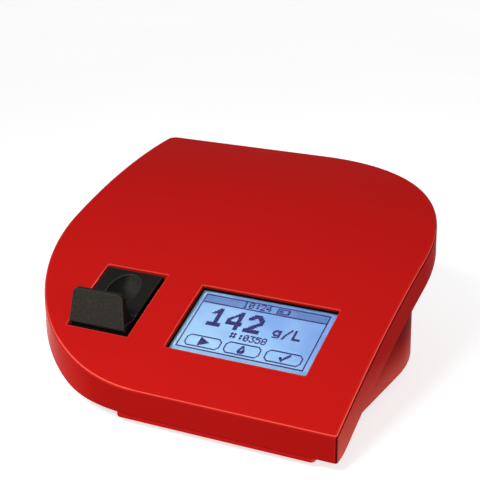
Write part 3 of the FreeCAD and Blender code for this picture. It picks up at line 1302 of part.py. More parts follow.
def sensor_board():
    top = sensor_board_top()
    board = slab(DRAWER_X - SENSOR_BOARD_HALF, DRAWER_X + SENSOR_BOARD_HALF, BEAM_Y - SENSOR_BOARD_FRONT,
                 TAIL_REAR_Y + SENSOR_BOARD_REAR, top - BOARD_THICKNESS, top, 1.0)
    for x, y in sensor_screw_places():
        board = board.cut(rod(SENSOR_SCREW_RADIUS + STACK_CLEARANCE, x, y, 0.0, DEPTH))
    return board


def sensor_board_pillars():
    """Two spacers between the guide's underside and the sensor board."""
    top = guide_levels()["floor_bottom"]
    return Part.makeCompound([rod(PILLAR_RADIUS, x, y, sensor_board_top(), top)
                              .cut(rod(PILLAR_BORE, x, y, 0.0, DEPTH)) for x, y in sensor_screw_places()])


def sensor_board_screws():
    seat = sensor_board_top() - BOARD_THICKNESS
    return Part.makeCompound([screw(x, y, seat, SENSOR_SCREW_RADIUS, SENSOR_SCREW_LENGTH, SENSOR_HEAD_RADIUS,
                                    SENSOR_HEAD_HEIGHT, False)
                              for x, y in sensor_screw_places()])


def photodiode():
    top = guide_levels()["floor_top"] - PHOTODIODE_COVER - PHOTODIODE_GAP
    return rod(PHOTODIODE_RADIUS, DRAWER_X, BEAM_Y, sensor_board_top(), top)


def slot_sensor():
    """Forked light barrier that the drawer's hook enters when the drawer is shut."""
    bottom = sensor_board_top()
    top = guide_levels()["floor_bottom"] - FORK_TOP_GAP
    y = TAIL_REAR_Y - HOOK_LENGTH / 2
    body = slab(HOOK_X - FORK_HALF_WIDTH, HOOK_X + FORK_HALF_WIDTH, y - FORK_HALF_LENGTH,
                y + FORK_HALF_LENGTH, bottom, top)
    return body.cut(slab(HOOK_X - FORK_SLOT_HALF, HOOK_X + FORK_SLOT_HALF, y - DEPTH, y + DEPTH,
                         bottom + FORK_FLOOR, top + 1.0))


def rear_hole(radius, x, z):
    return Part.makeCylinder(radius, 4 * BASE_WALL, V(x, REAR_WALL_Y - 3 * BASE_WALL, z), V(0, 1, 0))


def rear_slot(x, z, half_width, half_height):
    """Square hole through the base's rear wall."""
    return Part.makeBox(2 * half_width, 4 * BASE_WALL, 2 * half_height,
                        V(x - half_width, REAR_WALL_Y - 3 * BASE_WALL, z - half_height))


def power_socket_window():
    return rear_hole(SOCKET_NOSE_RADIUS + SOCKET_NOSE_GAP, POWER_SOCKET_X, SOCKET_HEIGHT_Z)


def power_socket():
    """Barrel socket on the main board, its mouth level with the rear wall."""
    inner_wall = REAR_WALL_Y - BASE_WALL
    ahead = V(0, 1, 0)
    half = SOCKET_HALF_WIDTH

    def barrel(radius, length, y):
        return Part.makeCylinder(radius, length, V(POWER_SOCKET_X, y, SOCKET_HEIGHT_Z), ahead)

    body = slab(POWER_SOCKET_X - half, POWER_SOCKET_X + half, inner_wall - SOCKET_LENGTH,
                inner_wall - SOCKET_WALL_GAP, board_top(), SOCKET_HEIGHT_Z + SOCKET_TOP, SOCKET_CORNER)
    nose_y = inner_wall - SOCKET_NOSE_SETBACK
    nose = barrel(SOCKET_NOSE_RADIUS, REAR_WALL_Y - nose_y, nose_y)
    socket = body.fuse(nose).cut(barrel(SOCKET_BORE_RADIUS, DEPTH, inner_wall - SOCKET_BORE_DEPTH))
    return socket.fuse(barrel(SOCKET_PIN_RADIUS, SOCKET_PIN_LENGTH, inner_wall - SOCKET_BORE_DEPTH - 0.2)
                       ).removeSplitter()


def usb_window():
    return rear_slot(USB_X, SOCKET_HEIGHT_Z, USB_HALF_WIDTH + USB_WINDOW_GAP,
                     USB_HALF_HEIGHT + USB_WINDOW_GAP)


def usb_port():
    """Square data socket with its tongue, level with the rear wall."""
    z = SOCKET_HEIGHT_Z
    front = REAR_WALL_Y - USB_LENGTH
    shell = slab(USB_X - USB_HALF_WIDTH, USB_X + USB_HALF_WIDTH, front, REAR_WALL_Y - USB_SETBACK,
                 z - USB_HALF_HEIGHT, z + USB_HALF_HEIGHT, USB_CORNER)
    feet = slab(USB_X - USB_HALF_WIDTH, USB_X + USB_HALF_WIDTH, front, front + USB_FOOT_LENGTH,
                board_top(), z)
    back = REAR_WALL_Y - USB_MOUTH_DEPTH
    mouth = Part.makeBox(2 * USB_MOUTH_HALF_WIDTH, 2 * USB_MOUTH_DEPTH, 2 * USB_MOUTH_HALF_HEIGHT,
                         V(USB_X - USB_MOUTH_HALF_WIDTH, back, z - USB_MOUTH_HALF_HEIGHT))
    bevel = [e for e in mouth.Edges if e.BoundBox.YLength > USB_MOUTH_DEPTH and e.BoundBox.ZMin > z]
    mouth = mouth.makeChamfer(USB_MOUTH_CHAMFER, bevel)
    tongue = Part.makeBox(2 * USB_TONGUE_HALF_WIDTH, USB_TONGUE_LENGTH, USB_TONGUE_HEIGHT,
                          V(USB_X - USB_TONGUE_HALF_WIDTH, back - 0.1, z - USB_TONGUE_DROP))
    return shell.fuse(feet).cut(mouth).fuse(tongue).removeSplitter()


def switch_middle_z():
    return SOCKET_HEIGHT_Z + SWITCH_RAISE


def switch_window():
    return rear_slot(SWITCH_X, switch_middle_z(), SWITCH_BODY_WIDTH / 2 + SWITCH_CLEARANCE,
                     SWITCH_BODY_HEIGHT / 2 + SWITCH_CLEARANCE)


def rocker_pivot():
    return V(SWITCH_X, REAR_WALL_Y - ROCKER_PIVOT_DEPTH, switch_middle_z())


def switch_body():
    """Snap-in housing of the power switch, with its flange outside the rear wall."""
    z = switch_middle_z()
    body = Part.makeBox(SWITCH_BODY_WIDTH, SWITCH_BODY_DEPTH, SWITCH_BODY_HEIGHT,
                        V(SWITCH_X - SWITCH_BODY_WIDTH / 2, REAR_WALL_Y - SWITCH_BODY_DEPTH,
                          z - SWITCH_BODY_HEIGHT / 2))
    flange = Part.makeBox(SWITCH_FLANGE_WIDTH, SWITCH_FLANGE, SWITCH_FLANGE_HEIGHT,
                          V(SWITCH_X - SWITCH_FLANGE_WIDTH / 2, REAR_WALL_Y, z - SWITCH_FLANGE_HEIGHT / 2))
    outer = [e for e in flange.Edges if abs(e.BoundBox.YMin - REAR_WALL_Y - SWITCH_FLANGE) < 0.01]
    housing = body.fuse(flange.makeFillet(SWITCH_FLANGE_FILLET, outer))
    height = ROCKER_HEIGHT + 2 * (ROCKER_GAP + ROCKER_SWING_GAP)
    well = Part.makeBox(ROCKER_WIDTH + 2 * ROCKER_GAP, 2 * ROCKER_WELL_DEPTH, height,
                        V(SWITCH_X - ROCKER_WIDTH / 2 - ROCKER_GAP, REAR_WALL_Y - ROCKER_WELL_DEPTH,
                          z - height / 2))
    return housing.cut(well).cut(rocker_axle(ROCKER_PIN_CLEARANCE)).removeSplitter()


def rocker_axle(grow):
    """The rocker's two pins, as one rod through it."""
    reach = ROCKER_PIN_REACH + 2 * grow
    return Part.makeCylinder(ROCKER_PIN_RADIUS + grow, ROCKER_WIDTH + 2 * reach,
                             rocker_pivot() - V(ROCKER_WIDTH / 2 + reach, 0, 0), V(1, 0, 0))


def switch_rocker():
    """Rocker with a hollow face, at rest with its lower end pressed in."""
    pivot = rocker_pivot()
    half = ROCKER_HEIGHT / 2
    face_y = pivot.y + ROCKER_FACE
    side = SWITCH_X - ROCKER_WIDTH / 2
    top_out = V(side, face_y, pivot.z + half)
    low_out = V(side, face_y, pivot.z - half)
    top_in = V(side, pivot.y + ROCKER_SHOULDER, pivot.z + half)
    low_in = V(side, pivot.y + ROCKER_SHOULDER, pivot.z - half)
    keel = V(side, pivot.y - ROCKER_KEEL, pivot.z)
    edges = [Part.Arc(low_out, V(side, face_y - ROCKER_HOLLOW, pivot.z), top_out).toShape(),
             Part.makeLine(top_out, top_in), Part.makeLine(top_in, keel), Part.makeLine(keel, low_in),
             Part.makeLine(low_in, low_out)]
    rocker = Part.Face(Part.Wire(edges)).extrude(V(ROCKER_WIDTH, 0, 0))
    rocker = rocker.fuse(rocker_axle(0.0)).removeSplitter()
    rocker.rotate(pivot, V(1, 0, 0), -ROCKER_TILT)
    return rocker


PIECES = [
    top_cover, base_shell, rubber_feet, cover_screws, threaded_inserts, battery_door, battery_door_screw,
    battery_pack, battery_lead, battery_plug, main_board, main_board_screws, board_chips, coin_cell_holder,
    coin_cell, buzzer, display_gasket, touch_panel, lcd_frame, lcd_glass, backlight_plate, display_board,
    display_board_screws, ribbon_sockets, display_ribbon, cuvette_drawer, drawer_guide, friction_spring,
    guide_screws, optic_head, optic_head_screws, collimating_lens, led_lamp, led_board, sensor_board,
    sensor_board_pillars, sensor_board_screws, photodiode, slot_sensor, power_socket, usb_port, switch_body,
    switch_rocker,
]


def main():
    os.makedirs("parts", exist_ok=True)
    for piece in PIECES:
        shape = piece()
        shape.exportStep("parts/" + piece.__name__ + ".step")
        print(piece.__name__, len(shape.Solids), round(shape.Volume, 1), shape.isValid())


main()
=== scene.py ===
"""Looks of the bench-top haemoglobin photometer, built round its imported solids.

Lengths are metres in the frame of the solids: X to the right of the display, Y to the back, Z up.
Each operator dresses or builds one piece or one group of like pieces.
"""
import math

import bpy
import numpy as np
from mathutils import Matrix, Vector


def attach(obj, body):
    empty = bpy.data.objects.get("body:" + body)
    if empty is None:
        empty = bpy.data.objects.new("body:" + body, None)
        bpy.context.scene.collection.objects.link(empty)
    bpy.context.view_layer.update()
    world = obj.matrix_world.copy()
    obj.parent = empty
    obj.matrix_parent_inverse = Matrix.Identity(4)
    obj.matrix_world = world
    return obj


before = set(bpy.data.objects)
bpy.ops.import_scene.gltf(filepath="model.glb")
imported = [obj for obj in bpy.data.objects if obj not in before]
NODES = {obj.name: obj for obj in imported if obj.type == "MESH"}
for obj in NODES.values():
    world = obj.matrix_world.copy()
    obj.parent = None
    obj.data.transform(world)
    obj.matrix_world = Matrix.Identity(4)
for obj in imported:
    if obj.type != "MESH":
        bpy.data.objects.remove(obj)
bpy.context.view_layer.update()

bl_info = {
    "name": "Haemoglobin photometer",
    "version": (1, 0, 0),
    "blender": (4, 5, 0),
    "location": "3D View > Sidebar > Photometer",
    "description": "Finishes, display and studio for the bench-top haemoglobin photometer",
    "category": "Object",
}

MM = 0.001
LAMP_SIDE = (0.26, -0.68, 0.68)  # direction toward the lamp, in which edges get a painted highlight
LIT_FACE_SIDE = (-0.34, -0.90, 0.27)  # direction of the drawer's forward faces, which get a paler grey painted as light
# red of the painted shade under the rim and on forward walls
PAINTED_SHADE_RED = (0.05, 0.001, 0.001)
COAT_ROUGHNESS = 0.22

# Display drawing, in dots of the liquid crystal cell
DOT_COLUMNS = 128
DOT_ROWS = 64
DOT_WIDTH = 0.4235 * MM
DOT_HEIGHT = 0.445 * MM
DOT_SHARE = 1.4               # the dark spreads a little past each dot's field
DRAWING_LEFT = -27.9 * MM     # from the middle of the window
DRAWING_TOP = 15.5 * MM
FILM_BORDER = 0.5 * MM        # the film reaches this far past the window
FILM_TOP = 0.06 * MM          # above the cell
FILM_THICKNESS = FILM_TOP / 2
INK_THICKNESS = 0.02 * MM
WINDOW_SIZE = (59.6 * MM, 33.7 * MM)

# Places in the drawing: rows from its top and columns from its left, in dots
TITLE_ROWS = 9
CLOCK_PLACE = (1, 38)
BATTERY_SIGN = (2, 76, 7, 87)  # top, left, bottom and right of its frame
READING_PLACE = (14, 14)
UNIT_PLACE = (23, 83)
COUNT_PLACE = (38, 44)
KEY_ROWS = (48, 60)
KEY_WIDTH = 35
KEY_CORNER = 3
KEY_SIGN_INSET = (2, 10)
KEYS = ((6, "start"), (46, "drop"), (87, "tick"))
SMALL_STEP = 6                # from one character to the next
BOLD_STEP = 10
BIG_STEP = 20
GLYPH_WIDTH = 8
ICON_WIDTH = 16

SMALL_GLYPHS = {              # seven rows of eight dots, each row as two hexadecimal digits
    "0": "0E11131519110E", "1": "040C040404040E", "2": "0E11010204081F", "3": "1F02040201110E",
    "4": "02060A121F0202", "5": "1F101E0101110E", "6": "0608101E11110E", "7": "1F010204080808",
    "8": "0E11110E11110E", "9": "0E11110F01020C", ":": "00060600060600", "#": "247E24247E2400",
}
BOLD_GLYPHS = {               # twelve rows of eight dots
    "0": "3C7EE7C3C3CBD3C3C3E77E3C", "1": "0C1C3C6C0C0C0C0C0C0C7F7F",
    "2": "3C7EE7C303070E1C3870FFFF", "3": "3C7EC303031E1E0303C37E3C",
    "4": "060E1E3666C6C6FFFF060606", "5": "FFFFC0C0FCFE030303C37E3C",
    "6": "1E3E60C0DCFEE7C3C3E77E3C", "7": "FFFFC3060C0C181818181818",
    "8": "3C7EC3C3C37E7EC3C3C37E3C", "9": "3C7EE7C3C3E77F3B03067C78",
    "g": "0000003B7FE7C3C37F3B037E", "/": "0303060C0C183030606060C0",
    "L": "C0C0C0C0C0C0C0C0C0FFFF00", " ": "000000000000000000000000",
}
ICONS = {                     # nine rows of sixteen dots
    "start": "0C000F000FC00FF00FFC0FF00FC00F000C00",
    "drop": "010003800380064006C00C600FE00FE007C0",
    "tick": "000C001C003800700CE00EC0078003000100",
}
BIG_COLUMNS = (2,) * GLYPH_WIDTH  # how often the reading repeats each column and row of its glyphs
BIG_ROWS = (2, 2, 2, 1, 2, 2, 1, 2, 2, 1, 2, 2)


# Properties that a user would change
class PhotometerFinish(bpy.types.PropertyGroup):
    cover_colour: bpy.props.FloatVectorProperty(
        name="Cover colour", description="Red of the cover, base and battery door", subtype="COLOR",
        size=3, min=0.0, max=1.0, default=(0.520, 0.0095, 0.0080))
    cover_roughness: bpy.props.FloatProperty(
        name="Cover roughness", description="Gloss of the red mouldings", subtype="FACTOR",
        min=0.0, max=1.0, default=0.42)
    cover_sheen: bpy.props.FloatProperty(
        name="Cover sheen", description="Strength of reflections on the red mouldings", subtype="FACTOR",
        min=0.0, max=1.0, default=0.004)
    wall_gloss: bpy.props.FloatProperty(
        name="Wall gloss", description="Gloss of the red walls near the floor", subtype="FACTOR",
        min=0.0, max=1.0, default=0.20)
    # Painted light: the floor's light painted into the colour of the lower walls.
    painted_wall_glow: bpy.props.FloatVectorProperty(
        name="Wall glow", description="Red of the walls where the white floor lights them",
        subtype="COLOR", size=3, min=0.0, max=1.0, default=(0.86, 0.080, 0.052))
    drawer_colour: bpy.props.FloatVectorProperty(
        name="Drawer colour", description="Grey-black of the cuvette drawer", subtype="COLOR",
        size=3, min=0.0, max=1.0, default=(0.0100, 0.0100, 0.0092))
    # Painted light: this paler grey is painted on the drawer's faces by how far they turn forward.
    painted_face_light: bpy.props.FloatVectorProperty(
        name="Finger face colour", description="Paler grey of the drawer's coarse forward faces",
        subtype="COLOR", size=3, min=0.0, max=1.0, default=(0.043, 0.041, 0.034))
    drawer_roughness: bpy.props.FloatProperty(
        name="Drawer roughness", description="Gloss of the spark-eroded drawer", subtype="FACTOR",
        min=0.0, max=1.0, default=0.58)


class PhotometerDisplay(bpy.types.PropertyGroup):
    reading: bpy.props.StringProperty(
        name="Reading", description="Large number on the display", default="142")
    light_colour: bpy.props.FloatVectorProperty(
        name="Lit colour", description="Colour of the lit cell between the dots", subtype="COLOR",
        size=3, min=0.0, max=1.0, default=(0.108, 0.190, 0.322))
    ink_colour: bpy.props.FloatVectorProperty(
        name="Dot colour", description="Colour of the dark dots", subtype="COLOR",
        size=3, min=0.0, max=1.0, default=(0.008, 0.005, 0.056))
    light_strength: bpy.props.FloatProperty(
        name="Light", description="Strength of the display's own light", min=0.0, max=4.0, default=0.35)


class PhotometerStudio(bpy.types.PropertyGroup):
    key_energy: bpy.props.FloatProperty(
        name="Main lamp", description="Power of the lamp above the front left", unit="POWER",
        min=0.0, max=500.0, default=0.65)
    key_spread: bpy.props.FloatProperty(
        name="Main lamp's spread", description="Angle over which the main lamp shines", unit="ROTATION",
        min=0.2, max=math.pi, default=1.05)
    fill_energy: bpy.props.FloatProperty(
        name="Fill lamp", description="Power of the lamp at the right", unit="POWER",
        min=0.0, max=500.0, default=1.5)
    sky_strength: bpy.props.FloatProperty(
        name="Surroundings", description="Light from all round", min=0.0, max=4.0, default=0.33)


def finish_values():
    return bpy.context.scene.photometer_finish


def display_values():
    return bpy.context.scene.photometer_display


def studio_values():
    return bpy.context.scene.photometer_studio


# Node trees
class Tree:
    """Adds and joins the nodes of one tree."""

    def __init__(self, tree):
        self.tree = tree

    def add(self, kind, inputs=None, **settings):
        node = self.tree.nodes.new(kind)
        for name, value in settings.items():
            setattr(node, name, value)
        for name, value in (inputs or {}).items():
            self.put(node.inputs[name], value)
        return node

    def put(self, socket, value):
        if isinstance(value, bpy.types.NodeSocket):
            self.tree.links.new(value, socket)
        else:
            socket.default_value = value

    def calc(self, operation, a, b=0.0, clamp=False):
        return self.add("ShaderNodeMath", {0: a, 1: b}, operation=operation, use_clamp=clamp).outputs[0]

    def mix(self, share, a, b, blend="MIX"):
        node = self.add("ShaderNodeMix", {0: share, 6: a, 7: b}, data_type="RGBA", blend_type=blend)
        return node.outputs[2]

    def spread(self, value, low, high, to_low=0.0, to_high=1.0):
        """Maps the range low to high on to another, and stops at its ends."""
        node = self.add("ShaderNodeMapRange", {"Value": value, "From Min": low, "From Max": high,
                                               "To Min": to_low, "To Max": to_high})
        return node.outputs["Result"]

    def between(self, value, low, high):
        """1 from low to high, 0 outside."""
        above = self.calc("GREATER_THAN", value, low)
        return self.calc("MULTIPLY", above, self.calc("LESS_THAN", value, high))

    def noise(self, place, scale, detail=3.0, roughness=0.55):
        node = self.add("ShaderNodeTexNoise", {"Vector": place, "Scale": scale, "Detail": detail,
                                               "Roughness": roughness})
        return node.outputs["Fac"]

    def dot(self, a, b):
        return self.add("ShaderNodeVectorMath", {0: a, 1: b}, operation="DOT_PRODUCT").outputs["Value"]

    def stretched(self, place, scale):
        return self.add("ShaderNodeMapping", {"Vector": place, "Scale": scale}).outputs["Vector"]

    def effect(self, group, **inputs):
        node = self.add("ShaderNodeGroup", node_tree=group)
        for name, value in inputs.items():
            self.put(node.inputs[name], value)
        return node.outputs


def rgba(colour):
    return (*colour[:3], 1.0)


def times(colour, *shares):
    """The colour with its three parts multiplied by one share, or by one share each."""
    return rgba([part * share for part, share in zip(colour, shares * (3 // len(shares)))])


def new_effect(name, inputs, outputs):
    """Shader node group with these inputs and outputs: name, kind and first value."""
    group = bpy.data.node_groups.new(name, "ShaderNodeTree")
    for label, kind, value in inputs:
        socket = group.interface.new_socket(label, in_out="INPUT", socket_type=kind)
        if value is not None:
            socket.default_value = value
    for label, kind in outputs:
        group.interface.new_socket(label, in_out="OUTPUT", socket_type=kind)
    tree = Tree(group)
    return group, tree, tree.add("NodeGroupInput").outputs, tree.add("NodeGroupOutput").inputs


def grain_effect():
    """Spark-eroded mould grain: fine noise broken up by small rounded cells."""
    group, tree, given, result = new_effect(
        "Mould grain",
        [("Vector", "NodeSocketVector", None), ("Fineness", "NodeSocketFloat", 4000.0)],
        [("Height", "NodeSocketFloat"), ("Tone", "NodeSocketFloat")])
    fine = tree.noise(given["Vector"], given["Fineness"], 2.0, 0.6)
    cells = tree.add("ShaderNodeTexVoronoi", {"Vector": given["Vector"], "Smoothness": 0.6,
                                              "Scale": tree.calc("MULTIPLY", given["Fineness"], 0.55)},
                     feature="SMOOTH_F1").outputs["Distance"]
    height = tree.calc("ADD", tree.calc("MULTIPLY", fine, 0.6), tree.calc("MULTIPLY", cells, 0.5))
    tree.put(result["Height"], height)
    tree.put(result["Tone"], tree.spread(height, 0.25, 0.85))
    return group


def handled_effect():
    """Slow changes of tone over a moulding, and the faint wipe marks that show in its gloss."""
    group, tree, given, result = new_effect(
        "Handled surface",
        [("Vector", "NodeSocketVector", None), ("Colour", "NodeSocketColor", (0.5, 0.5, 0.5, 1.0)),
         ("Stain", "NodeSocketFloat", 0.3), ("Roughness", "NodeSocketFloat", 0.5),
         ("Wipes", "NodeSocketFloat", 0.06)],
        [("Colour", "NodeSocketColor"), ("Roughness", "NodeSocketFloat")])
    clouds = tree.noise(given["Vector"], 22.0, 4.0, 0.6)
    tone = tree.mix(tree.calc("MULTIPLY", given["Stain"], tree.spread(clouds, 0.3, 0.7)),
                    given["Colour"], (0.80, 0.78, 0.78, 1.0), "MULTIPLY")
    wipes = tree.noise(tree.stretched(given["Vector"], (70.0, 420.0, 420.0)), 1.0, 3.0, 0.7)
    patches = tree.noise(given["Vector"], 60.0, 3.0, 0.6)
    marks = tree.calc("SUBTRACT", tree.calc("ADD", wipes, patches), 1.0)
    rough = tree.calc("ADD", given["Roughness"], tree.calc("MULTIPLY", marks, given["Wipes"]), clamp=True)
    tree.put(result["Colour"], tone)
    tree.put(result["Roughness"], rough)
    return group


def edge_effect():
    """Edges: a normal rounded over the radius, and how far it turns over twice that, which is the mask for
    painted highlights; Glint is that turn toward the lamp, for a painted glint.
    """
    group, tree, given, result = new_effect(
        "Soft edges",
        [("Radius", "NodeSocketFloat", 0.0003), ("Gain", "NodeSocketFloat", 9.0)],
        [("Mask", "NodeSocketFloat"), ("Glint", "NodeSocketFloat"), ("Normal", "NodeSocketVector")])
    rounded = tree.add("ShaderNodeBevel", {"Radius": given["Radius"]}, samples=6).outputs["Normal"]
    wide = tree.add("ShaderNodeBevel", {"Radius": tree.calc("MULTIPLY", given["Radius"], 2.0)},
                    samples=6).outputs["Normal"]
    plain = tree.add("ShaderNodeNewGeometry").outputs["Normal"]
    turn = tree.calc("MULTIPLY", tree.calc("SUBTRACT", 1.0, tree.dot(wide, plain)), given["Gain"], clamp=True)
    toward = tree.calc("SUBTRACT", tree.calc("MULTIPLY", tree.dot(wide, LAMP_SIDE), 2.4), 1.2, clamp=True)
    tree.put(result["Mask"], turn)
    tree.put(result["Glint"], tree.calc("MULTIPLY", turn, toward))
    tree.put(result["Normal"], rounded)
    return group


def painted_rim_effect():
    """Rounded rims, told by how their normal leans: a painted highlight line above where it faces the lamp
    and painted shade where it turns away, and a painted shade line below and on corners.
    """
    group, tree, given, result = new_effect(
        "Rim lines", [("Normal", "NodeSocketVector", None)],
        [("Bright", "NodeSocketFloat"), ("Dark", "NodeSocketFloat")])
    parts = tree.add("ShaderNodeSeparateXYZ", {"Vector": given["Normal"]}).outputs
    lit = tree.calc("MULTIPLY", tree.dot(given["Normal"], (0.5, -0.7, 0.5)), 3.0, clamp=True)
    upper = tree.calc("MULTIPLY", tree.spread(parts["Z"], 0.50, 0.60), tree.spread(parts["Z"], 0.80, 0.72))
    lower = tree.calc("MULTIPLY", tree.spread(parts["Z"], 0.04, 0.10), tree.spread(parts["Z"], 0.50, 0.40))
    aside = tree.spread(parts["Y"], -0.75, -0.45)
    forward = tree.calc("LESS_THAN", parts["Y"], -0.25)
    corner = tree.calc("MULTIPLY", tree.between(parts["X"], 0.45, 0.93), forward)
    level = tree.calc("LESS_THAN", tree.calc("ABSOLUTE", parts["Z"]), 0.3)
    shaded = tree.calc("MULTIPLY", upper, tree.calc("SUBTRACT", 1.0, lit))
    dark = tree.calc("ADD", tree.calc("MULTIPLY", lower, aside), tree.calc("MULTIPLY", corner, level),
                     clamp=True)
    tree.put(result["Bright"], tree.calc("MULTIPLY", upper, lit))
    tree.put(result["Dark"], tree.calc("MAXIMUM", dark, shaded))
    return group


def painted_floor_light_effect():
    """Painted light and shade on steep walls: how far a wall takes the floor's light, most near the floor and
    none in front.

    Glow is the floor's light painted into the colour, also on walls turned left and more on those turned left
    and forward. Gloss is for the coat, which also shows on walls turned left or to the rear, and three times
    as much on those turned left and forward. Fall is the power by which both fade with height. Shade is 1 on
    the side walls above the given height, where the rim keeps the light off them, and sets painted shade
    there.
    Ahead is 1 on walls that face straight forward, away from the lamp's side, and sets painted shade there.
    """
    group, tree, given, result = new_effect(
        "Floor light",
        [("Vector", "NodeSocketVector", None), ("Normal", "NodeSocketVector", None),
         ("Top", "NodeSocketFloat", 0.03), ("Fall", "NodeSocketFloat", 1.0)],
        [("Glow", "NodeSocketFloat"), ("Gloss", "NodeSocketFloat"), ("Shade", "NodeSocketFloat"),
         ("Ahead", "NodeSocketFloat")])
    height = tree.add("ShaderNodeSeparateXYZ", {"Vector": given["Vector"]}).outputs["Z"]
    parts = tree.add("ShaderNodeSeparateXYZ", {"Vector": given["Normal"]}).outputs
    low = tree.calc("POWER", tree.spread(height, 0.006, given["Top"], 1.0, 0.0), given["Fall"])
    left = tree.spread(parts["X"], -0.30, -0.88)
    left_ahead = tree.calc("MULTIPLY", left, tree.spread(parts["Y"], -0.10, -0.40))
    rear = tree.spread(parts["Y"], 0.22, 0.50)
    steep = tree.calc("MULTIPLY", tree.spread(parts["Z"], 0.1, 0.5, 1.0, 0.0),
                      tree.spread(parts["Y"], -0.97, -0.60))
    to_side = tree.calc("ADD", tree.calc("MULTIPLY", left, 0.3), tree.calc("MULTIPLY", left_ahead, 0.5))
    glow = tree.calc("MAXIMUM", tree.calc("MULTIPLY", low, 0.85), to_side)
    bright = tree.calc("ADD", left, tree.calc("MULTIPLY", left_ahead, 2.0))
    gloss = tree.calc("MAXIMUM", low, tree.calc("MAXIMUM", bright, rear))
    high = tree.spread(height, 0.010, given["Top"])
    beside = tree.spread(tree.calc("ABSOLUTE", parts["X"]), 0.6, 0.9)
    tree.put(result["Glow"], tree.calc("MULTIPLY", glow, steep))
    tree.put(result["Gloss"], tree.calc("MULTIPLY", gloss, steep))
    tree.put(result["Shade"], tree.calc("MULTIPLY", high, beside))
    upright = tree.calc("LESS_THAN", tree.calc("ABSOLUTE", parts["Z"]), 0.3)
    tree.put(result["Ahead"], tree.calc("MULTIPLY", upright, tree.spread(parts["Y"], -0.90, -0.995)))
    return group


EFFECTS = {}


def effect(name):
    """The shared node group of that name, made when it is first asked for."""
    makers = {"grain": grain_effect, "handled": handled_effect, "edges": edge_effect, "rims": painted_rim_effect,
              "floor light": painted_floor_light_effect}
    if name not in EFFECTS:
        EFFECTS[name] = makers[name]()
    return EFFECTS[name]


def new_material(name, **shader_values):
    """Material with one Principled shader. Returns it with its tree, shader and object coordinates."""
    material = bpy.data.materials.new(name)
    material.use_nodes = True
    material.node_tree.nodes.clear()
    tree = Tree(material.node_tree)
    shader = tree.add("ShaderNodeBsdfPrincipled")
    for socket, value in shader_values.items():
        shader.inputs[socket.replace("_", " ")].default_value = value
    tree.add("ShaderNodeOutputMaterial", {"Surface": shader.outputs[0]})
    place = tree.add("ShaderNodeTexCoord").outputs["Object"]
    return material, tree, shader.inputs, place


def moulded(name, colour, roughness, fineness=4200.0, depth=0.12, edge=0.25, radius=0.0003, stain=0.3,
            wipes=0.06, fleck=0.0, painted_glint=None, front=None, **shader_values):
    """Moulded plastic or rubber: handled tone, mould grain, and edges a little lighter than the faces as a
    painted highlight.

    glint is the colour of a painted highlight on edges where they catch the light, front the paler colour
    painted on forward faces as painted light.
    """
    material, tree, shader, place = new_material(name, **shader_values)
    handled = tree.effect(effect("handled"), Vector=place, Colour=rgba(colour), Stain=stain,
                          Roughness=roughness, Wipes=wipes)
    grain = tree.effect(effect("grain"), Vector=place, Fineness=fineness)
    edges = tree.effect(effect("edges"), Radius=radius)
    # Painted highlight: edges are mixed toward this lighter colour by their mask.
    light = tuple(min(1.0, part * 1.5 + 0.04) for part in colour[:3])
    tone = handled["Colour"]
    # Painted light: faces turned forward take the paler front colour.
    if front:
        lit_facing = tree.dot(tree.add("ShaderNodeNewGeometry").outputs["Normal"], LIT_FACE_SIDE)
        tone = tree.mix(tree.spread(lit_facing, 0.60, 0.86), tone, rgba(front))
    if fleck:
        tone = tree.mix(tree.calc("MULTIPLY", tree.calc("SUBTRACT", 1.0, grain["Tone"]), fleck), tone,
                        (0.0, 0.0, 0.0, 1.0))
    tone = tree.mix(tree.calc("MULTIPLY", edges["Mask"], edge), tone, rgba(light))
    # Painted highlight: edges turned toward the lamp take this colour.
    if painted_glint:
        tone = tree.mix(edges["Glint"], tone, rgba(painted_glint))
    bump = tree.add("ShaderNodeBump", {"Strength": depth, "Distance": 0.0001, "Height": grain["Height"],
                                       "Normal": edges["Normal"]})
    tree.put(shader["Base Color"], tone)
    tree.put(shader["Roughness"], handled["Roughness"])
    tree.put(shader["Normal"], bump.outputs["Normal"])
    return material


def shader_of(material):
    """The inputs of the material's shader, and its tree."""
    shader = next(node for node in material.node_tree.nodes if node.type == "BSDF_PRINCIPLED")
    return shader.inputs, Tree(material.node_tree)


def add_painted_rim_lines(material, bright, dark):
    """Painted highlight and painted shade lines along rounded rims."""
    shader, tree = shader_of(material)
    rims = tree.effect(effect("rims"), Normal=tree.add("ShaderNodeNewGeometry").outputs["Normal"])
    tone = tree.mix(rims["Dark"], shader["Base Color"].links[0].from_socket, rgba(dark))
    tree.put(shader["Base Color"], tree.mix(rims["Bright"], tone, rgba(bright)))


def add_painted_floor_light(material, glow, gloss, top, fall=1.0, shade=0.0, ahead=0.0):
    """Painted floor light and gloss of the walls near the floor, and painted shade under the rim and on the
    forward walls.
    """
    shader, tree = shader_of(material)
    floor = tree.effect(effect("floor light"), Vector=tree.add("ShaderNodeTexCoord").outputs["Object"],
                        Normal=tree.add("ShaderNodeNewGeometry").outputs["Normal"], Top=top, Fall=fall)
    dark = tree.calc("ADD", tree.calc("MULTIPLY", floor["Shade"], shade),
                     tree.calc("MULTIPLY", floor["Ahead"], ahead), clamp=True)
    tone = tree.mix(dark, shader["Base Color"].links[0].from_socket, rgba(PAINTED_SHADE_RED))
    tree.put(shader["Base Color"], tree.mix(floor["Glow"], tone, rgba(glow)))
    tree.put(shader["Coat Weight"], tree.calc("MULTIPLY", floor["Gloss"], gloss))
    shader["Coat Roughness"].default_value = COAT_ROUGHNESS


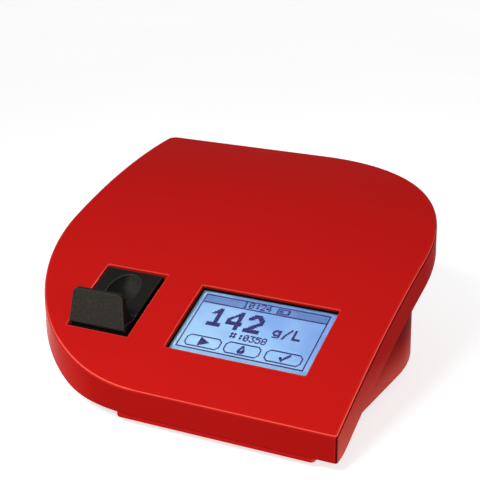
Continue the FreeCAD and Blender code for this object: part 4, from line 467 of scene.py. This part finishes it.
def metal(name, colour, roughness, lines=(900.0, 900.0, 60.0), stain=0.25):
    """Metal with fine tool lines along one direction, and edges worn brighter."""
    material, tree, shader, place = new_material(name, Metallic=1.0)
    handled = tree.effect(effect("handled"), Vector=place, Colour=rgba(colour), Stain=stain,
                          Roughness=roughness, Wipes=0.1)
    lined = tree.noise(tree.stretched(place, lines), 1.0, 4.0, 0.7)
    edges = tree.effect(effect("edges"), Radius=0.00015)
    light = tuple(min(1.0, part * 1.2) for part in colour[:3])
    tree.put(shader["Base Color"], tree.mix(tree.calc("MULTIPLY", edges["Mask"], 0.5), handled["Colour"],
                                            rgba(light)))
    tree.put(shader["Roughness"], tree.calc("ADD", handled["Roughness"],
                                            tree.calc("MULTIPLY", tree.calc("SUBTRACT", lined, 0.5), 0.25),
                                            clamp=True))
    bump = tree.add("ShaderNodeBump", {"Strength": 0.15, "Distance": 0.00005, "Height": lined,
                                       "Normal": edges["Normal"]})
    tree.put(shader["Normal"], bump.outputs["Normal"])
    return material


def circuit(name, mask_colour):
    """Circuit board: solder mask over darker and lighter copper tracks, with tinned pads."""
    material, tree, shader, place = new_material(name, Coat_Weight=0.3, Coat_Roughness=0.15)
    bricks = tree.add("ShaderNodeTexBrick", {"Vector": place, "Scale": 90.0, "Mortar Size": 0.035,
                                             "Color1": rgba(mask_colour),
                                             "Color2": times(mask_colour, 0.8),
                                             "Mortar": times(mask_colour, 1.7)},
                      offset=0.37, squash=1.6)
    cells = tree.add("ShaderNodeTexVoronoi", {"Vector": place, "Scale": 420.0}, feature="F1")
    pads = tree.calc("LESS_THAN", cells.outputs["Distance"], 0.16)
    tone = tree.mix(pads, bricks.outputs["Color"], (0.62, 0.62, 0.60, 1.0))
    tree.put(shader["Base Color"], tone)
    tree.put(shader["Metallic"], pads)
    tree.put(shader["Roughness"], tree.spread(tree.noise(place, 300.0), 0.3, 0.7, 0.28, 0.42))
    bump = tree.add("ShaderNodeBump", {"Strength": 0.3, "Distance": 0.00005,
                                       "Height": bricks.outputs["Fac"]})
    tree.put(shader["Normal"], bump.outputs["Normal"])
    return material


def clear(name, tint, roughness, bending=1.47):
    """Clear plastic or glass. Shadow rays pass it, so that what lies behind stays lit."""
    material, tree, shader, place = new_material(name, Transmission_Weight=1.0, IOR=bending)
    smears = tree.noise(place, 160.0, 3.0, 0.6)
    share = tree.calc("MULTIPLY", smears, 0.2)
    tree.put(shader["Base Color"], tree.mix(share, rgba(tint), times(tint, 0.93)))
    tree.put(shader["Roughness"], tree.spread(smears, 0.3, 0.7, roughness, roughness + 0.03))
    see_through = tree.add("ShaderNodeBsdfTransparent")
    rays = tree.add("ShaderNodeLightPath").outputs["Is Shadow Ray"]
    output = next(node for node in tree.tree.nodes if node.type == "OUTPUT_MATERIAL")
    plain = output.inputs["Surface"].links[0].from_socket
    mixed = tree.add("ShaderNodeMixShader", {0: rays, 1: plain, 2: see_through.outputs[0]})
    tree.put(output.inputs["Surface"], mixed.outputs[0])
    return material


def grid_faces(across, up):
    """Four-sided faces of a grid whose points are numbered row by row."""
    first = (np.arange(up - 1)[:, None] * across + np.arange(across - 1)[None, :]).reshape(-1)
    return np.stack((first, first + 1, first + across + 1, first + across), axis=1)


def dress(material, *nodes):
    """Gives a solid's node this material in all its slots."""
    for name in nodes:
        slots = NODES[name].material_slots
        if not slots:
            NODES[name].data.materials.append(material)
        for held in slots:
            held.material = material


def new_piece(name, points, faces, material, body, smooth=False):
    """Mesh object at the origin from arrays of points and faces."""
    mesh = bpy.data.meshes.new(name)
    mesh.from_pydata(points.tolist(), [], faces.tolist())
    mesh.update()
    mesh.shade_smooth() if smooth else mesh.shade_flat()
    mesh.materials.append(material)
    piece = bpy.data.objects.new(name, mesh)
    bpy.context.scene.collection.objects.link(piece)
    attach(piece, body)
    return piece


# Display
def cell_place():
    """Middle and axes of the liquid crystal cell's upper face, read from its solid.

    The largest group of triangles that face up gives the plane. Its x axis is level, its y axis runs
    up the slope and its z axis points out of the cover.
    """
    mesh = NODES["lcd_glass"].data
    points = np.empty(len(mesh.vertices) * 3)
    mesh.vertices.foreach_get("co", points)
    points = points.reshape(-1, 3)
    mesh.calc_loop_triangles()
    corners = np.empty(len(mesh.loop_triangles) * 3, dtype=np.int32)
    mesh.loop_triangles.foreach_get("vertices", corners)
    corners = points[corners.reshape(-1, 3)]
    cross = np.cross(corners[:, 1] - corners[:, 0], corners[:, 2] - corners[:, 0])
    area = np.linalg.norm(cross, axis=1)
    up = (cross[:, 2] > 0.5 * area) & (area > 0.05 * area.max())
    normal = cross[up].sum(axis=0)
    normal /= np.linalg.norm(normal)
    face = corners[up].reshape(-1, 3)
    x_axis = np.array((1.0, 0.0, 0.0))
    y_axis = np.cross(normal, x_axis)
    middle = sum(axis * (face @ axis).min() / 2 + axis * (face @ axis).max() / 2
                 for axis in (x_axis, y_axis, normal))
    return middle, np.stack((x_axis, y_axis, normal))


def on_cell(local):
    """Points given across, up and out from the middle of the cell, in the model's frame."""
    middle, axes = cell_place()
    return middle + local @ axes


def dots_of(text, width):
    """Dots of a drawing whose rows are given as hexadecimal numbers of this many dots."""
    digits = width // 4
    rows = np.array([int(text[at:at + digits], 16) for at in range(0, len(text), digits)])
    return (rows[:, None] >> np.arange(width - 1, -1, -1)) & 1


def stamp(picture, row, column, dots):
    """Sets the dots of a small drawing in the picture, its top left at the row and column."""
    picture[row:row + dots.shape[0], column:column + dots.shape[1]] |= dots.astype(bool)


def write(picture, text, row, column, step, glyphs, columns=1, rows=1):
    """Stamps the characters side by side, each dot repeated as columns and rows say."""
    for number, name in enumerate(text):
        dots = np.repeat(np.repeat(dots_of(glyphs[name], GLYPH_WIDTH), rows, axis=0), columns, axis=1)
        stamp(picture, row, column + number * step, dots)


def outline(picture, top, left, bottom, right, corner=0):
    """One-dot frame, its corners cut by the given number of dots."""
    picture[top, left + corner:right + 1 - corner] = True
    picture[bottom, left + corner:right + 1 - corner] = True
    picture[top + corner:bottom + 1 - corner, left] = True
    picture[top + corner:bottom + 1 - corner, right] = True
    steps = np.arange(corner)
    for row in (top + corner - steps, bottom - corner + steps):
        picture[row, left + steps] = True
        picture[row, right - steps] = True


def display_picture(reading):
    """The whole drawing as an array of dots, its first row at the top."""
    picture = np.zeros((DOT_ROWS, DOT_COLUMNS), dtype=bool)
    outline(picture, 0, 0, DOT_ROWS - 1, DOT_COLUMNS - 1)
    picture[TITLE_ROWS, :] = True
    write(picture, "10:24", *CLOCK_PLACE, SMALL_STEP, SMALL_GLYPHS)
    top, left, bottom, right = BATTERY_SIGN
    outline(picture, top, left, bottom, right)
    picture[top + 1:bottom, right + 1] = True
    picture[top + 2:bottom - 1, left + 2:left + 6] = True
    write(picture, reading, *READING_PLACE, BIG_STEP, BOLD_GLYPHS, BIG_COLUMNS, BIG_ROWS)
    write(picture, "g/L", *UNIT_PLACE, BOLD_STEP, BOLD_GLYPHS)
    write(picture, "#:0358", *COUNT_PLACE, SMALL_STEP, SMALL_GLYPHS)
    top, bottom = KEY_ROWS
    down, along = KEY_SIGN_INSET
    for left, icon in KEYS:
        outline(picture, top, left, bottom, left + KEY_WIDTH, KEY_CORNER)
        stamp(picture, top + down, left + along, dots_of(ICONS[icon], ICON_WIDTH))
    return picture


def ink_points(picture):
    """A flat block for each dark dot: the eight corners of a unit block, scaled and shifted to the dot."""
    rows, columns = np.nonzero(picture)
    block = np.array([(x, y, z) for z in (0.0, 1.0) for y in (-0.5, 0.5) for x in (-0.5, 0.5)])
    size = np.array((DOT_WIDTH * DOT_SHARE, DOT_HEIGHT * DOT_SHARE, INK_THICKNESS))
    middle = np.stack((DRAWING_LEFT + (columns + 0.5) * DOT_WIDTH, DRAWING_TOP - (rows + 0.5) * DOT_HEIGHT,
                       np.full(rows.shape, FILM_TOP)), axis=1)
    points = (middle[:, None, :] + block[None, :, :] * size).reshape(-1, 3)
    sides = np.array(((0, 2, 3, 1), (4, 5, 7, 6), (0, 1, 5, 4), (1, 3, 7, 5), (3, 2, 6, 7), (2, 0, 4, 6)))
    faces = (sides[None, :, :] + 8 * np.arange(len(rows))[:, None, None]).reshape(-1, 4)
    return points, faces


def film_points(across=61, up=35):
    """The film as a grid: x and y run evenly over the window and its border, z is its top."""
    half = np.array(WINDOW_SIZE) / 2 + FILM_BORDER
    s, t = np.meshgrid(np.linspace(-1.0, 1.0, across), np.linspace(-1.0, 1.0, up))
    points = np.stack((s * half[0], t * half[1], np.full(s.shape, FILM_TOP)), axis=-1).reshape(-1, 3)
    return points, grid_faces(across, up)


def film_material():
    """Lit cell: lighter at lower left, with a darker title band, fine dot rows and a faint hatch below.

    The drawing's own coordinates run from 0 to 1 over the dots, and past them in the film's border.
    """
    values = display_values()
    lit = values.light_colour
    material, tree, shader, _ = new_material("Lit display film", Emission_Strength=values.light_strength)
    shader["Specular IOR Level"].default_value = 0.05
    uv = tree.add("ShaderNodeUVMap", uv_map="Drawing").outputs["UV"]
    parts = tree.add("ShaderNodeSeparateXYZ", {"Vector": uv}).outputs
    deep = times(lit, 0.80, 0.84, 0.97)
    light = times(lit, 1.45, 1.36, 1.10)
    clouds = tree.noise(tree.stretched(uv, (1.6, 1.0, 1.0)), 2.2, 2.0, 0.4)
    across = tree.calc("ADD", tree.calc("MULTIPLY", parts["X"], 0.55),
                       tree.calc("MULTIPLY", parts["Y"], 0.55))
    place_tone = tree.calc("ADD", across, tree.calc("MULTIPLY", tree.calc("SUBTRACT", clouds, 0.5), 1.1))
    tone = tree.mix(tree.spread(place_tone, 0.1, 0.9), light, deep)
    in_band = tree.between(parts["Y"], 1.0 - TITLE_ROWS / DOT_ROWS, 1.0)
    inside = tree.between(parts["X"], 0.0, 1.0)
    patch = tree.calc("MULTIPLY", tree.spread(parts["X"], 0.27, 0.36), tree.spread(parts["X"], 0.76, 0.66))
    strength = tree.calc("SUBTRACT", 0.85, tree.calc("MULTIPLY", patch, 0.5))
    band = tree.calc("MULTIPLY", tree.calc("MULTIPLY", in_band, inside), strength)
    tone = tree.mix(band, tone, times(lit, 0.4, 0.42, 0.6))
    slanted = tree.calc("ADD", tree.calc("MULTIPLY", parts["X"], 1.9), parts["Y"])
    stripes = tree.calc("SINE", tree.calc("MULTIPLY", slanted, 190.0))
    below = tree.calc("LESS_THAN", parts["Y"], 0.0)
    hatch = tree.calc("MULTIPLY", tree.spread(stripes, -0.4, 0.4), tree.calc("MULTIPLY", below, 0.5))
    tone = tree.mix(hatch, tone, times(lit, 0.5))
    rows = tree.calc("SINE", tree.calc("MULTIPLY", parts["Y"], 2 * math.pi * DOT_ROWS))
    columns = tree.calc("SINE", tree.calc("MULTIPLY", parts["X"], 2 * math.pi * DOT_COLUMNS))
    lines = tree.calc("ADD", tree.spread(rows, 0.8, 1.0), tree.spread(columns, 0.8, 1.0))
    net = tree.calc("MULTIPLY", lines, 0.06)
    tone = tree.mix(net, tone, (0.14, 0.20, 0.38, 1.0))
    tree.put(shader["Base Color"], tone)
    tree.put(shader["Emission Color"], tone)
    tree.put(shader["Roughness"], tree.spread(clouds, 0.3, 0.7, 0.38, 0.5))
    return material


def ink_material():
    """Dark dots, with the small differences of tone that a driven cell shows."""
    values = display_values()
    material, tree, shader, place = new_material("Dark display dots", Emission_Strength=0.4)
    shader["Specular IOR Level"].default_value = 0.05
    tone = tree.mix(tree.noise(place, 900.0, 1.0), rgba(values.ink_colour),
                    rgba([part * 1.6 + 0.01 for part in values.ink_colour]))
    tree.put(shader["Base Color"], tone)
    tree.put(shader["Emission Color"], tone)
    tree.put(shader["Roughness"], tree.spread(tree.noise(place, 500.0), 0.3, 0.7, 0.4, 0.55))
    return material


# Operators: one for each piece or group of like pieces
class PHOTOMETER_OT_mouldings(bpy.types.Operator):
    """Dress the cover, the base and the battery door in satin red"""
    bl_idname = "photometer.mouldings"
    bl_label = "Red mouldings"

    def execute(self, context):
        values = finish_values()
        # Painted highlights: lighter edges, and a bright line on edges turned toward the lamp.
        cover = moulded("Satin red cover", values.cover_colour, values.cover_roughness, fineness=3200.0,
                        depth=0.05, edge=0.1, radius=0.0004, stain=0.08, wipes=0.05,
                        painted_glint=(0.98, 0.16, 0.11), Specular_IOR_Level=values.cover_sheen)
        # Painted floor light on the cover's lower walls, and painted shade on its forward walls.
        add_painted_floor_light(cover, values.painted_wall_glow, values.wall_gloss, 0.030, ahead=0.22)
        # Painted highlight and painted shade lines along the cover's rims.
        add_painted_rim_lines(cover, (0.88, 0.10, 0.07), (0.07, 0.0, 0.0))
        base = moulded("Satin red base", values.cover_colour, values.cover_roughness, fineness=3200.0,
                       depth=0.05, edge=0.0, radius=0.0003, stain=0.08, wipes=0.05,
                       Specular_IOR_Level=values.cover_sheen)
        # Painted floor light on the base's lower walls, and painted shade under the rim.
        add_painted_floor_light(base, values.painted_wall_glow, values.wall_gloss * 0.6, 0.022, fall=3.0, shade=0.75)
        dress(cover, "top_cover")
        dress(base, "base_shell", "battery_door")
        return {"FINISHED"}


class PHOTOMETER_OT_drawer(bpy.types.Operator):
    """Dress the cuvette drawer, its guide and the optic bridge"""
    bl_idname = "photometer.drawer"
    bl_label = "Drawer and guide"

    def execute(self, context):
        values = finish_values()
        # Painted highlights on the drawer's edges, and painted light on its forward faces.
        grey = moulded("Spark-eroded drawer", values.drawer_colour, values.drawer_roughness,
                       fineness=2600.0, depth=0.55, edge=0.3, radius=0.00025, stain=0.5, fleck=0.55,
                       painted_glint=(0.085, 0.082, 0.074), front=values.painted_face_light, Specular_IOR_Level=0.04)
        black = moulded("Matt black guide", (0.004, 0.004, 0.004), 0.62, fineness=3000.0, depth=0.3,
                        edge=0.1, stain=0.4, Specular_IOR_Level=0.03)
        dress(grey, "cuvette_drawer")
        dress(black, "drawer_guide", "optic_head")
        return {"FINISHED"}


class PHOTOMETER_OT_display(bpy.types.Operator):
    """Build the lit film and its dark dots, and dress the layers of the display"""
    bl_idname = "photometer.display"
    bl_label = "Display"

    def execute(self, context):
        film, faces = film_points()
        piece = new_piece("display_film", on_cell(film), faces, film_material(), "instrument")
        layer = piece.data.uv_layers.new(name="Drawing")
        corners = np.empty(len(piece.data.loops), dtype=np.int32)
        piece.data.loops.foreach_get("vertex_index", corners)
        size = np.array((DOT_COLUMNS * DOT_WIDTH, DOT_ROWS * DOT_HEIGHT))
        start = np.array((DRAWING_LEFT, DRAWING_TOP - size[1]))
        layer.data.foreach_set("uv", ((film[corners, :2] - start) / size).reshape(-1))
        thick = piece.modifiers.new("Film thickness", "SOLIDIFY")
        thick.thickness = FILM_THICKNESS
        thick.offset = -1.0
        points, faces = ink_points(display_picture(display_values().reading))
        new_piece("display_dots", on_cell(points), faces, ink_material(), "instrument")
        dress(clear("Anti-glare touch panel", (0.97, 0.98, 1.0), 0.006, 1.16), "touch_panel")
        dress(clear("Lens glass", (0.97, 0.99, 0.99), 0.01), "collimating_lens")
        dress(clear("Lamp resin", (0.92, 0.96, 0.88), 0.06), "led_lamp")
        dress(moulded("Cell glass edge", (0.24, 0.33, 0.48), 0.2, depth=0.02, stain=0.2), "lcd_glass")
        dress(moulded("Milky light guide", (0.82, 0.86, 0.92), 0.3, depth=0.03, stain=0.1),
              "backlight_plate")
        dress(moulded("Black gasket foam", (0.003, 0.003, 0.003), 0.9, fineness=1800.0, depth=0.7,
                      edge=0.05, Specular_IOR_Level=0.02), "display_gasket")
        return {"FINISHED"}


class PHOTOMETER_OT_metals(bpy.types.Operator):
    """Dress the screws, inserts, spring, cans and pillars"""
    bl_idname = "photometer.metals"
    bl_label = "Metal parts"

    def execute(self, context):
        dress(metal("Zinc-plated steel", (0.56, 0.57, 0.60), 0.34), "cover_screws", "battery_door_screw",
              "main_board_screws", "guide_screws", "optic_head_screws", "sensor_board_screws",
              "display_board_screws")
        dress(metal("Rolled spring steel", (0.60, 0.60, 0.62), 0.26, (60.0, 60.0, 1500.0)), "friction_spring")
        dress(metal("Tinned sheet", (0.66, 0.67, 0.69), 0.30, (80.0, 1200.0, 1200.0)), "lcd_frame",
              "coin_cell", "usb_port")
        dress(metal("Turned brass", (0.62, 0.42, 0.14), 0.30, (200.0, 200.0, 3000.0)), "threaded_inserts",
              "sensor_board_pillars")
        return {"FINISHED"}


class PHOTOMETER_OT_electronics(bpy.types.Operator):
    """Dress the boards, their parts, the ribbon, and the battery with its lead"""
    bl_idname = "photometer.electronics"
    bl_label = "Boards and battery"

    def execute(self, context):
        dress(circuit("Green solder mask", (0.012, 0.085, 0.030)), "main_board", "display_board",
              "led_board", "sensor_board")
        dress(moulded("Chip resin", (0.012, 0.012, 0.013), 0.55, fineness=5000.0, depth=0.3),
              "board_chips", "buzzer", "coin_cell_holder", "photodiode", "slot_sensor")
        dress(moulded("Cream connector", (0.66, 0.60, 0.46), 0.45, depth=0.08), "ribbon_sockets",
              "battery_plug")
        dress(moulded("Ribbon film", (0.60, 0.64, 0.70), 0.30, fineness=900.0, depth=0.05),
              "display_ribbon")
        dress(moulded("Blue shrink sleeve", (0.012, 0.055, 0.260), 0.24, fineness=700.0, depth=0.18,
                      stain=0.4), "battery_pack")
        dress(moulded("Wire sleeve", (0.40, 0.008, 0.008), 0.4, depth=0.1), "battery_lead")
        return {"FINISHED"}


class PHOTOMETER_OT_rear(bpy.types.Operator):
    """Dress the power socket, the switch and the feet"""
    bl_idname = "photometer.rear"
    bl_label = "Rear sockets, switch and feet"

    def execute(self, context):
        dress(moulded("Black socket resin", (0.011, 0.011, 0.012), 0.34, depth=0.1, edge=0.4),
              "power_socket", "switch_body", "switch_rocker")
        dress(moulded("Foot rubber", (0.014, 0.014, 0.014), 0.8, fineness=1500.0, depth=0.5, edge=0.2,
                      stain=0.6), "rubber_feet")
        return {"FINISHED"}


# Stage
CAMERA_PLACE = (244.009 * MM, -457.847 * MM, 228.527 * MM)
CAMERA_YAW = 0.466946
CAMERA_PITCH = 0.309427
CAMERA_ROLL = 0.001157
CAMERA_LENS = 99.024          # mm, for a 36 mm wide sensor
CAMERA_SHIFT = (-0.0594, -0.0574)
FLOOR_HALF = 4.0
FLOOR_POINTS = 9              # along each side
FLOOR_LIFT = 0.72             # brightness that the floor adds for the rays that see it
STUDIO_MIDDLE = (0.0, 0.0, 0.03)


def photo_camera():
    """Camera at the photograph's place, turned by yaw about the vertical and then tilted down by pitch."""
    data = bpy.data.cameras.new("Photo camera")
    data.sensor_width = 36.0
    data.lens = CAMERA_LENS
    data.shift_x, data.shift_y = CAMERA_SHIFT
    data.clip_start = 0.01
    data.clip_end = 50.0
    camera = bpy.data.objects.new("Photo camera", data)
    turn = (Matrix.Rotation(CAMERA_YAW, 4, "Z") @ Matrix.Rotation(math.pi / 2 - CAMERA_PITCH, 4, "X")
            @ Matrix.Rotation(-CAMERA_ROLL, 4, "Z"))
    camera.matrix_world = Matrix.Translation(CAMERA_PLACE) @ turn
    bpy.context.scene.collection.objects.link(camera)
    bpy.context.scene.camera = camera


def area_lamp(name, place, target, size, energy, spread=math.pi):
    """Rectangular lamp at a place, turned toward its target."""
    data = bpy.data.lights.new(name, "AREA")
    data.spread = spread
    data.shape = "RECTANGLE"
    data.size, data.size_y = size
    data.energy = energy
    lamp = bpy.data.objects.new(name, data)
    lamp.location = place
    lamp.rotation_euler = (Vector(target) - Vector(place)).to_track_quat("-Z", "Y").to_euler()
    bpy.context.scene.collection.objects.link(lamp)


def seen_rays(tree):
    """1 for camera, mirror and glass rays, which see the plain white background and floor."""
    rays = tree.add("ShaderNodeLightPath").outputs
    either = tree.calc("MAXIMUM", rays["Is Camera Ray"], rays["Is Glossy Ray"])
    return tree.calc("MAXIMUM", either, rays["Is Transmission Ray"])


def white_surroundings(strength):
    """White world: plain white where it is seen, and this strong where it lights."""
    world = bpy.data.worlds.new("White surroundings")
    world.use_nodes = True
    world.node_tree.nodes.clear()
    tree = Tree(world.node_tree)
    lit = tree.add("ShaderNodeBackground", {"Color": (1.0, 1.0, 1.0, 1.0), "Strength": strength})
    seen = tree.add("ShaderNodeBackground", {"Color": (1.0, 1.0, 1.0, 1.0), "Strength": 1.0})
    mixed = tree.add("ShaderNodeMixShader", {0: seen_rays(tree), 1: lit.outputs[0], 2: seen.outputs[0]})
    tree.add("ShaderNodeOutputWorld", {"Surface": mixed.outputs[0]})
    bpy.context.scene.world = world


def pale_floor():
    """Square floor at the feet, a grid whose points lie evenly in x and y."""
    along = np.linspace(-FLOOR_HALF, FLOOR_HALF, FLOOR_POINTS)
    s, t = np.meshgrid(along, along)
    points = np.stack((s, t, np.zeros_like(s)), axis=-1).reshape(-1, 3)
    mesh = bpy.data.meshes.new("pale_floor")
    mesh.from_pydata(points.tolist(), [], grid_faces(FLOOR_POINTS, FLOOR_POINTS).tolist())
    floor = bpy.data.objects.new("pale_floor", mesh)
    bpy.context.scene.collection.objects.link(floor)
    material, tree, shader, place = new_material("Pale floor", Emission_Strength=1.0)
    shader["Specular IOR Level"].default_value = 0.1
    tree.put(shader["Base Color"], tree.mix(tree.noise(place, 30.0), (0.58, 0.58, 0.58, 1.0),
                                            (0.60, 0.60, 0.60, 1.0)))
    tree.put(shader["Roughness"], tree.spread(tree.noise(place, 8.0), 0.3, 0.7, 0.6, 0.7))
    tree.put(shader["Emission Color"], tree.mix(seen_rays(tree), (0.0, 0.0, 0.0, 1.0),
                                                rgba((FLOOR_LIFT,) * 3)))
    mesh.materials.append(material)


class PHOTOMETER_OT_stage(bpy.types.Operator):
    """Set the pale floor, the plain lamps and the camera"""
    bl_idname = "photometer.stage"
    bl_label = "Studio"

    def execute(self, context):
        values = studio_values()
        context.scene.view_settings.view_transform = "Standard"
        white_surroundings(values.sky_strength)
        pale_floor()
        area_lamp("Main lamp", (-0.10, -0.58, 0.60), (-0.02, -0.14, 0.03), (0.35, 0.25), values.key_energy,
                  values.key_spread)
        area_lamp("Fill lamp", (0.85, -0.35, 0.18), STUDIO_MIDDLE, (0.5, 0.3), values.fill_energy)
        photo_camera()
        return {"FINISHED"}


STEPS = (PHOTOMETER_OT_mouldings, PHOTOMETER_OT_drawer, PHOTOMETER_OT_display, PHOTOMETER_OT_metals,
         PHOTOMETER_OT_electronics, PHOTOMETER_OT_rear, PHOTOMETER_OT_stage)


class PHOTOMETER_PT_panel(bpy.types.Panel):
    """Settings and steps of the photometer"""
    bl_label = "Photometer"
    bl_space_type = "VIEW_3D"
    bl_region_type = "UI"
    bl_category = "Photometer"

    def draw(self, context):
        layout = self.layout
        for values in (finish_values(), display_values(), studio_values()):
            box = layout.box()
            for name in values.__annotations__:
                box.prop(values, name)
        for step in STEPS:
            layout.operator(step.bl_idname)


GROUPS = (PhotometerFinish, PhotometerDisplay, PhotometerStudio)


def register():
    for each in (*GROUPS, *STEPS, PHOTOMETER_PT_panel):
        bpy.utils.register_class(each)
    bpy.types.Scene.photometer_finish = bpy.props.PointerProperty(type=PhotometerFinish)
    bpy.types.Scene.photometer_display = bpy.props.PointerProperty(type=PhotometerDisplay)
    bpy.types.Scene.photometer_studio = bpy.props.PointerProperty(type=PhotometerStudio)


def unregister():
    del bpy.types.Scene.photometer_finish
    del bpy.types.Scene.photometer_display
    del bpy.types.Scene.photometer_studio
    for each in reversed((*GROUPS, *STEPS, PHOTOMETER_PT_panel)):
        bpy.utils.unregister_class(each)


def main():
    register()
    bpy.ops.photometer.mouldings()
    bpy.ops.photometer.drawer()
    bpy.ops.photometer.display()
    bpy.ops.photometer.metals()
    bpy.ops.photometer.electronics()
    bpy.ops.photometer.rear()
    bpy.ops.photometer.stage()


if __name__ == "__main__":
    main()
